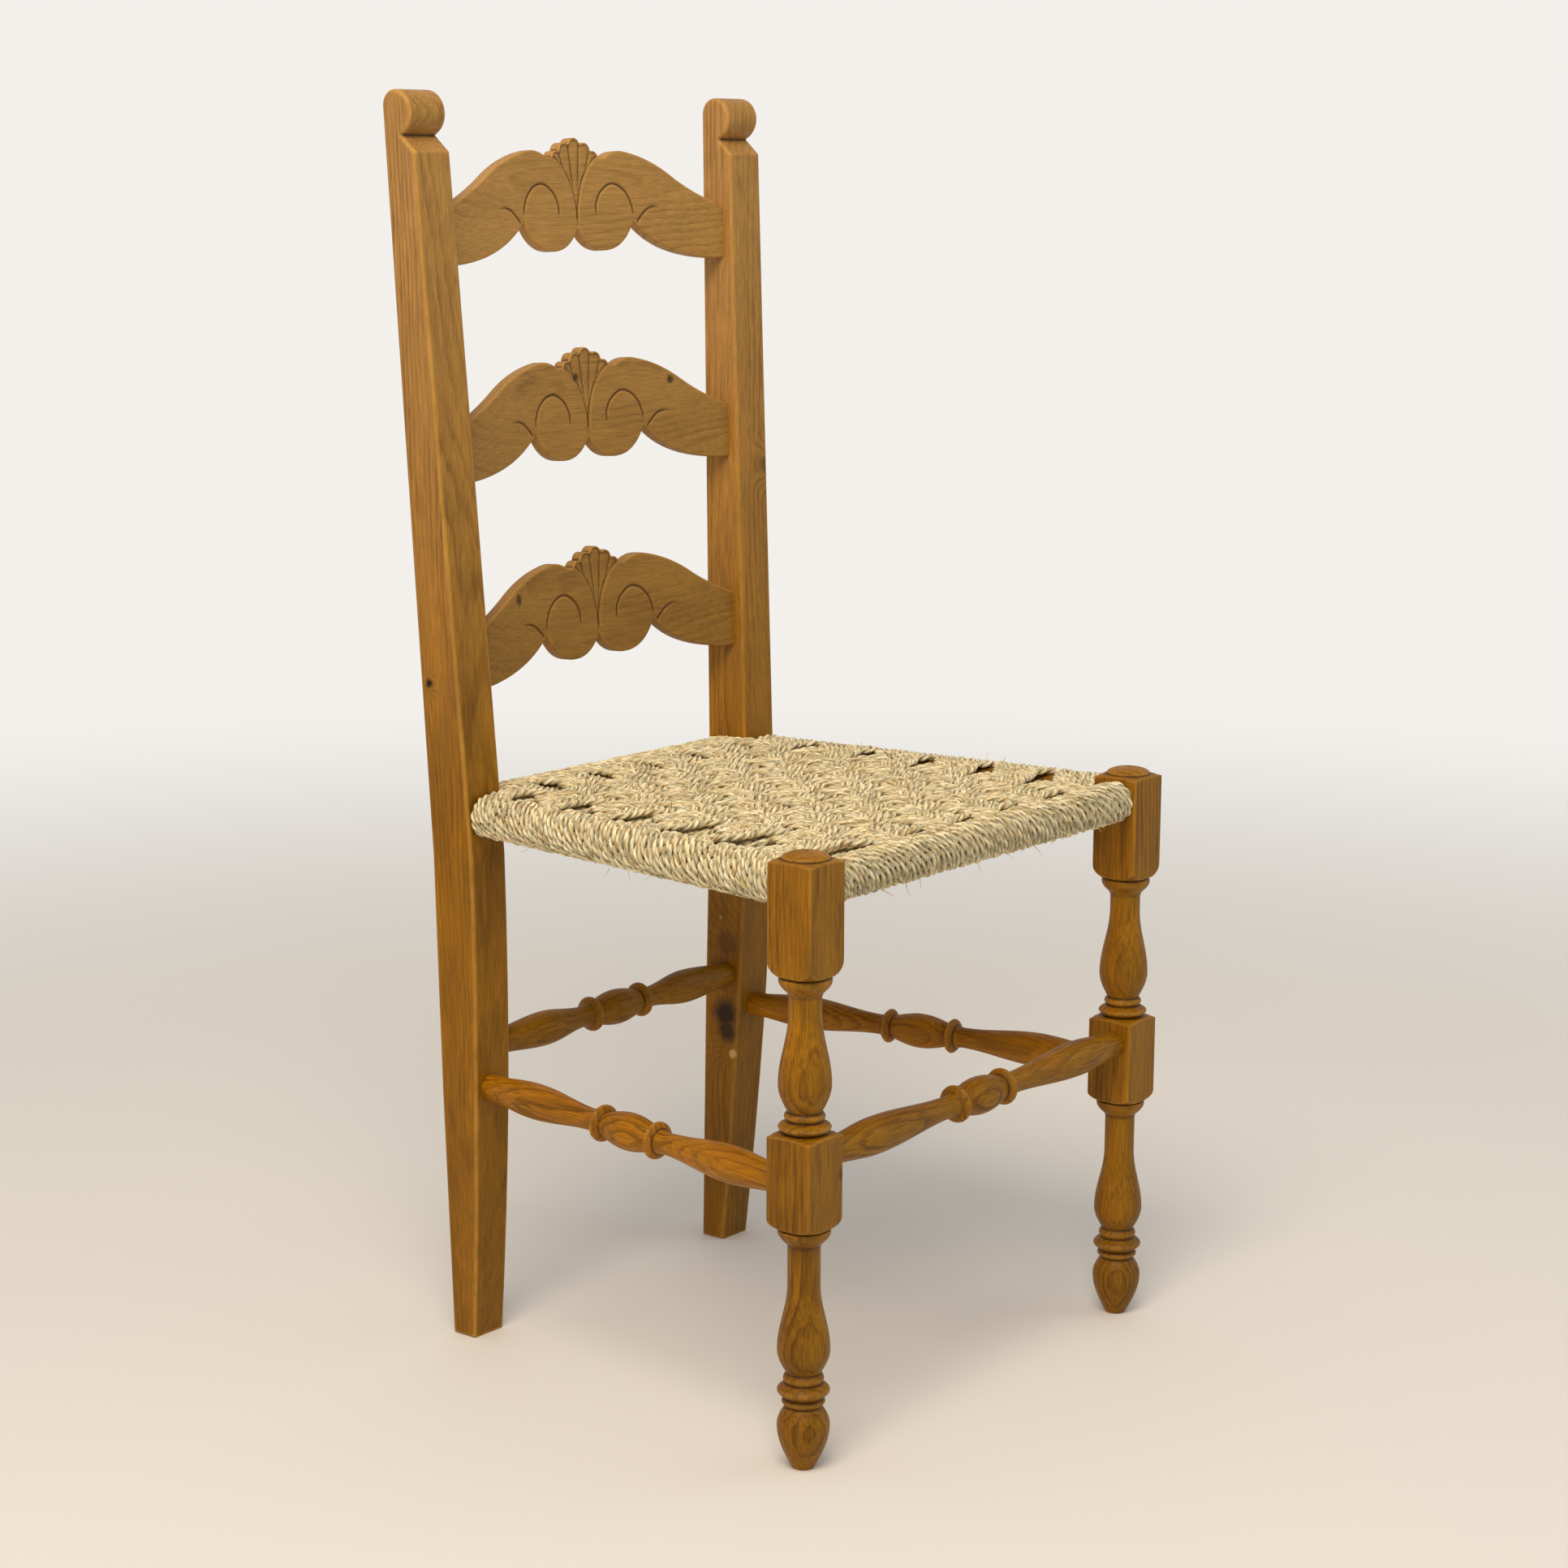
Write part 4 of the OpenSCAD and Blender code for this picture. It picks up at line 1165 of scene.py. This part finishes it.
def colour(name, description, hex_colour):
    return FloatVectorProperty(
        name=name, description=description, default=linear(hex_colour)[:3],
        size=3, subtype="COLOR", min=0, max=1,
    )


class ChairLooks(bpy.types.PropertyGroup):
    bare_wood: colour("Bare wood", "Colour where the varnish is rubbed off an edge", "#cf9a4a")
    grime: colour("Grime", "Colour of the dirt in grooves and hollows", "#3a220e")
    edge_wear: FloatProperty(
        name="Edge wear", description="How much of the varnish is rubbed off the edges",
        default=1.1, min=0, max=2,
    )
    cord_colour: colour("Cord", "Colour of most of the grass cord", "#f2e0b2")
    cord_light: colour("Pale cord", "Colour of the palest leaves in the cord", "#fbf2d3")
    cord_dark: colour("Dark cord", "Colour of the darkest leaves in the cord", "#bca468")
    floor_colour: colour("Floor", "Colour of the floor", "#ece7e0")


def watts(name, description, default):
    return FloatProperty(name=name, description=description, default=default, min=0, unit="POWER")


class ChairStage(bpy.types.PropertyGroup):
    world: FloatProperty(
        name="Room light", description="Strength of the light from all round", default=0.54, min=0
    )
    key: watts("Window light", "Power of the large soft light", 70)
    fill: watts("Fill light", "Power of the weaker light opposite", 6.5)
    lens: FloatProperty(
        name="Lens", description="Focal length of the camera in millimetres", default=73.31, min=20
    )


# ---------------------------------------------------------------- operators


def stuff(name):
    """The material of that name, which the first operator makes."""
    return bpy.data.materials[name]


# how far up between the seat and the heads each slat's middle is, and its seed
SLATS = (("bottom", 0.1957, 1), ("middle", 0.4963, 2), ("top", 0.8071, 3))
# each stretcher's two ends, and which way it runs
STRETCHERS = (
    ("front", (-188.5, -5, 234), (188.5, -5, 234), "across"),
    ("back", (-144.36, 366, 241), (144.36, 366, 241), "across"),
    ("left", (-206.5, 20, 212), (-165.98, 351.2, 212), "along"),
    ("right", (206.5, 20, 212), (165.98, 351.2, 212), "along"),
)
RAILS = ("seat_rail_front", "seat_rail_back", "seat_rail_left", "seat_rail_right")
# the floor's rings in metres, with so many points round each
FLOOR_RINGS, FLOOR_AROUND = (0.6, 1.2, 1.8, 2.4, 3.0, 3.6), 96
# the camera's place in metres, and how far it turns right, down and round
CAMERA_AT = (-1.9293, -1.5532, 0.9298)
CAMERA_TURN = (51.36, 10.94, 0.21)
LIT_POINT = Vector((0, 0, 0.45))


class CHAIR_OT_materials(bpy.types.Operator):
    """Make the wood and cord materials"""

    bl_idname = "chair.materials"
    bl_label = "Materials"

    def execute(self, context):
        honey = ("#b07406", "#966204", "#5a3502")
        brown = ("#9a6e28", "#855b1c", "#53340c")
        pale = ("#b68436", "#a2722c", "#68481a")
        varnished_pine(
            "pine_post_left", "z", (-0.13, 0.30, 0), honey, wear=1.0, bold=0.54,
            knots=[((-192.5, 188, 536), 3.2, 1.0), ((-190, 165, 120), 3.0, 0.5)],
        )
        varnished_pine(
            "pine_post_right", "z", (0.25, 0.13, 0), honey, wear=0.7, ring=5.0, bold=0.54,
            knots=[
                ((143, 168, 205), 12.0, 0.95), ((143, 166, 190), 9.0, 0.9), ((144, 176, 240), 12.0, 0.55),
                ((146, 168, 268), 10.0, 0.4), ((196, 167, 680), 7.0, 0.6),
            ],
            chips=[((143, 160, 171), 5.0), ((148, 176, 290), 3.0)],
        )
        varnished_pine(
            "pine_leg_left", "z", (-0.245, -0.24, 0), honey, wear=0.3, ring=5.2,
            knots=[((-LEG_X, LEG_Y, SEAT_TOP + 8), 2.2, 0.8), ((18 - LEG_X, LEG_Y - 19, 222), 4.0, 0.55)],
        )
        varnished_pine(
            "pine_leg_right", "z", (0.16, -0.22, 0), honey, wear=0.3, ring=5.2,
            knots=[((LEG_X, LEG_Y, SEAT_TOP + 8), 2.2, 0.8)],
        )
        varnished_pine("pine_slat_top", "x", (0, 0.235, 0.90), pale, wear=0.35, ring=5.5, bold=0.42)
        varnished_pine(
            "pine_slat_middle", "x", (0, 0.24, 0.735), brown, wear=0.35, ring=5.5, bold=0.42,
            knots=[((-13, 195, 762), 3.8, 0.85), ((97, 189, 757), 3.2, 0.85)],
        )
        varnished_pine(
            "pine_slat_bottom", "x", (0, 0.23, 0.58), brown, wear=0.35, ring=5.5, bold=0.42,
            knots=[((-100, 178.6, 592), 3.6, 0.8)],
        )
        varnished_pine("pine_turned_across", "x", (0, 0.03, 0.21), honey, wear=0.3)
        varnished_pine("pine_turned_along", "y", (0.16, 0, 0.20), ("#c47f0c", "#ae6e08", "#6a4004"), wear=0.3)
        varnished_pine("pine_rail", "x", (0, 0.4, 0.4), brown)
        grass_cord("seagrass_cord")
        dry_grass("dry_grass_ends")
        return {"FINISHED"}


class CHAIR_OT_posts(bpy.types.Operator):
    """Make the two back posts with their scrolled heads"""

    bl_idname = "chair.posts"
    bl_label = "Back posts"

    def execute(self, context):
        make_post("back_post_left", -1, stuff("pine_post_left"))
        make_post("back_post_right", 1, stuff("pine_post_right"))
        return {"FINISHED"}


class CHAIR_OT_legs(bpy.types.Operator):
    """Make the two turned front legs"""

    bl_idname = "chair.legs"
    bl_label = "Front legs"

    def execute(self, context):
        make_leg("front_leg_left", -1, stuff("pine_leg_left"))
        make_leg("front_leg_right", 1, stuff("pine_leg_right"))
        return {"FINISHED"}


class CHAIR_OT_slats(bpy.types.Operator):
    """Make the three carved and bowed slats"""

    bl_idname = "chair.slats"
    bl_label = "Slats"

    def execute(self, context):
        span = HEAD_Z - SEAT_TOP - 1
        for name, at, seed in SLATS:
            make_slat("slat_" + name, SEAT_TOP + 1 + at * span, stuff("pine_slat_" + name), seed)
        return {"FINISHED"}


class CHAIR_OT_stretchers(bpy.types.Operator):
    """Make the four turned stretchers"""

    bl_idname = "chair.stretchers"
    bl_label = "Stretchers"

    def execute(self, context):
        for name, a, b, way in STRETCHERS:
            make_stretcher("stretcher_" + name, a, b, stuff("pine_turned_" + way))
        return {"FINISHED"}


class CHAIR_OT_seat(bpy.types.Operator):
    """Weave the cord seat round its four rails"""

    bl_idname = "chair.seat"
    bl_label = "Woven seat"

    def execute(self, context):
        size = context.scene.chair_sizes
        tree = cord_tree(stuff("seagrass_cord"))
        values = {
            "Cord radius": size.cord_radius,
            "Length of a twist": size.cord_twist,
            "Step along the cord": size.cord_step,
            "Unevenness": size.cord_unevenness,
            "Seed": size.cord_seed,
        }
        rng = np.random.default_rng(41)
        warp, warp_under = warp_lines(rng)
        weft, weft_under = weft_lines(rng)
        half_warp, half_weft = len(warp) // 2, len(weft) // 2
        lay_cords("seat_warp_left", warp[:half_warp], tree, values, ["woven_seat"])
        # the underside is not seen close by and has its points farther apart
        for more, name, lines, step in (
            (1, "seat_warp_right", warp[half_warp:], 1.0),
            (2, "seat_weft_back", weft[:half_weft], 1.0),
            (3, "seat_weft_front", weft[half_weft:], 1.0),
            (4, "seat_warp_under", warp_under, 1.7),
            (5, "seat_weft_under", weft_under, 1.7),
        ):
            own = {"Seed": size.cord_seed + more, "Step along the cord": size.cord_step * step}
            lay_cords(name, lines, tree, {**values, **own}, [])
        values = {"Length of an end": size.fray_length, "Thickness": 0.03, "Seed": size.cord_seed}
        stand_ends("seat_fray", *fray_roots(), fray_tree(stuff("dry_grass_ends")), values)
        return {"FINISHED"}


class CHAIR_OT_rails(bpy.types.Operator):
    """Give the four seat rails their wood"""

    bl_idname = "chair.rails"
    bl_label = "Seat rails"

    def execute(self, context):
        for name in RAILS:
            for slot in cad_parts[name].material_slots:
                slot.material = stuff("pine_rail")
        return {"FINISHED"}


class CHAIR_OT_stage(bpy.types.Operator):
    """Make the floor, the lights and the camera"""

    bl_idname = "chair.stage"
    bl_label = "Stage"

    def execute(self, context):
        set_up = context.scene.chair_stage
        mesh = bpy.data.meshes.new("floor")
        turns = [2 * math.pi * k / FLOOR_AROUND for k in range(FLOOR_AROUND)]
        points = [(0, 0, 0)]
        points += [(r * math.cos(a), r * math.sin(a), 0) for r in FLOOR_RINGS for a in turns]
        faces = [(0, 1 + k, 1 + (k + 1) % FLOOR_AROUND) for k in range(FLOOR_AROUND)]
        faces += [tuple(1 + i for i in face[::-1]) for face in ladder(len(FLOOR_RINGS), FLOOR_AROUND)]
        mesh.from_pydata(points, [], faces)
        mesh.materials.append(plain_floor("painted_floor"))
        floor = bpy.data.objects.new("floor", mesh)
        context.scene.collection.objects.link(floor)

        world = bpy.data.worlds.new("room")
        context.scene.world = world
        world.use_nodes = True
        t = world.node_tree
        t.nodes.clear()
        lit = add(t, "ShaderNodeBackground", {"Color": linear("#fbfaf8"), "Strength": set_up.world}).outputs[0]
        seen = add(t, "ShaderNodeBackground", {"Color": linear("#f3f0ec"), "Strength": 1.0}).outputs[0]
        eye = add(t, "ShaderNodeLightPath").outputs["Is Camera Ray"]
        both = add(t, "ShaderNodeMixShader", {0: eye, 1: lit, 2: seen}).outputs[0]
        add(t, "ShaderNodeOutputWorld", {"Surface": both})

        for name, at, size, power, tint in (
            ("window", (-1.7, -0.9, 2.9), 1.6, set_up.key, "#fff0da"),
            ("fill", (1.9, -2.2, 1.6), 2.0, set_up.fill, "#fdfdff"),
        ):
            light = bpy.data.lights.new(name, "AREA")
            light.energy, light.size, light.color = power, size, linear(tint)[:3]
            lamp = bpy.data.objects.new(name, light)
            lamp.location = at
            lamp.rotation_euler = (LIT_POINT - lamp.location).to_track_quat("-Z", "Y").to_euler()
            context.scene.collection.objects.link(lamp)

        data = bpy.data.cameras.new("camera")
        data.lens, data.sensor_width = set_up.lens, 36
        data.dof.use_dof = False
        camera = bpy.data.objects.new("camera", data)
        yaw, pitch, roll = map(math.radians, CAMERA_TURN)
        ahead = Vector((math.sin(yaw) * math.cos(pitch), math.cos(yaw) * math.cos(pitch), -math.sin(pitch)))
        right = Vector((math.cos(yaw), -math.sin(yaw), 0))
        up = right.cross(ahead)
        rolled = right * math.cos(roll) + up * math.sin(roll)
        up = up * math.cos(roll) - right * math.sin(roll)
        camera.matrix_world = Matrix.LocRotScale(
            Vector(CAMERA_AT), Matrix((rolled, up, -ahead)).transposed(), None
        )
        context.scene.collection.objects.link(camera)
        context.scene.camera = camera
        context.scene.view_settings.view_transform = "Standard"
        return {"FINISHED"}


class CHAIR_PT_panel(bpy.types.Panel):
    bl_label = "Ladder-back chair"
    bl_idname = "CHAIR_PT_panel"
    bl_space_type = "VIEW_3D"
    bl_region_type = "UI"
    bl_category = "Chair"

    def draw(self, context):
        layout = self.layout
        for group in (context.scene.chair_sizes, context.scene.chair_looks, context.scene.chair_stage):
            for key in group.__annotations__:
                layout.prop(group, key)
        for operator in OPERATORS:
            layout.operator(operator.bl_idname)


GROUPS = (("chair_sizes", ChairSizes), ("chair_looks", ChairLooks), ("chair_stage", ChairStage))
OPERATORS = (
    CHAIR_OT_materials,
    CHAIR_OT_posts,
    CHAIR_OT_legs,
    CHAIR_OT_slats,
    CHAIR_OT_stretchers,
    CHAIR_OT_seat,
    CHAIR_OT_rails,
    CHAIR_OT_stage,
)


def register():
    for name, group in GROUPS:
        bpy.utils.register_class(group)
        setattr(bpy.types.Scene, name, PointerProperty(type=group))
    for part in (*OPERATORS, CHAIR_PT_panel):
        bpy.utils.register_class(part)


def unregister():
    for part in reversed((*OPERATORS, CHAIR_PT_panel)):
        bpy.utils.unregister_class(part)
    for name, group in reversed(GROUPS):
        delattr(bpy.types.Scene, name)
        bpy.utils.unregister_class(group)


def main():
    register()
    bpy.ops.chair.materials()
    bpy.ops.chair.posts()
    bpy.ops.chair.legs()
    bpy.ops.chair.slats()
    bpy.ops.chair.stretchers()
    bpy.ops.chair.seat()
    bpy.ops.chair.rails()
    bpy.ops.chair.stage()


if __name__ == "__main__":
    main()
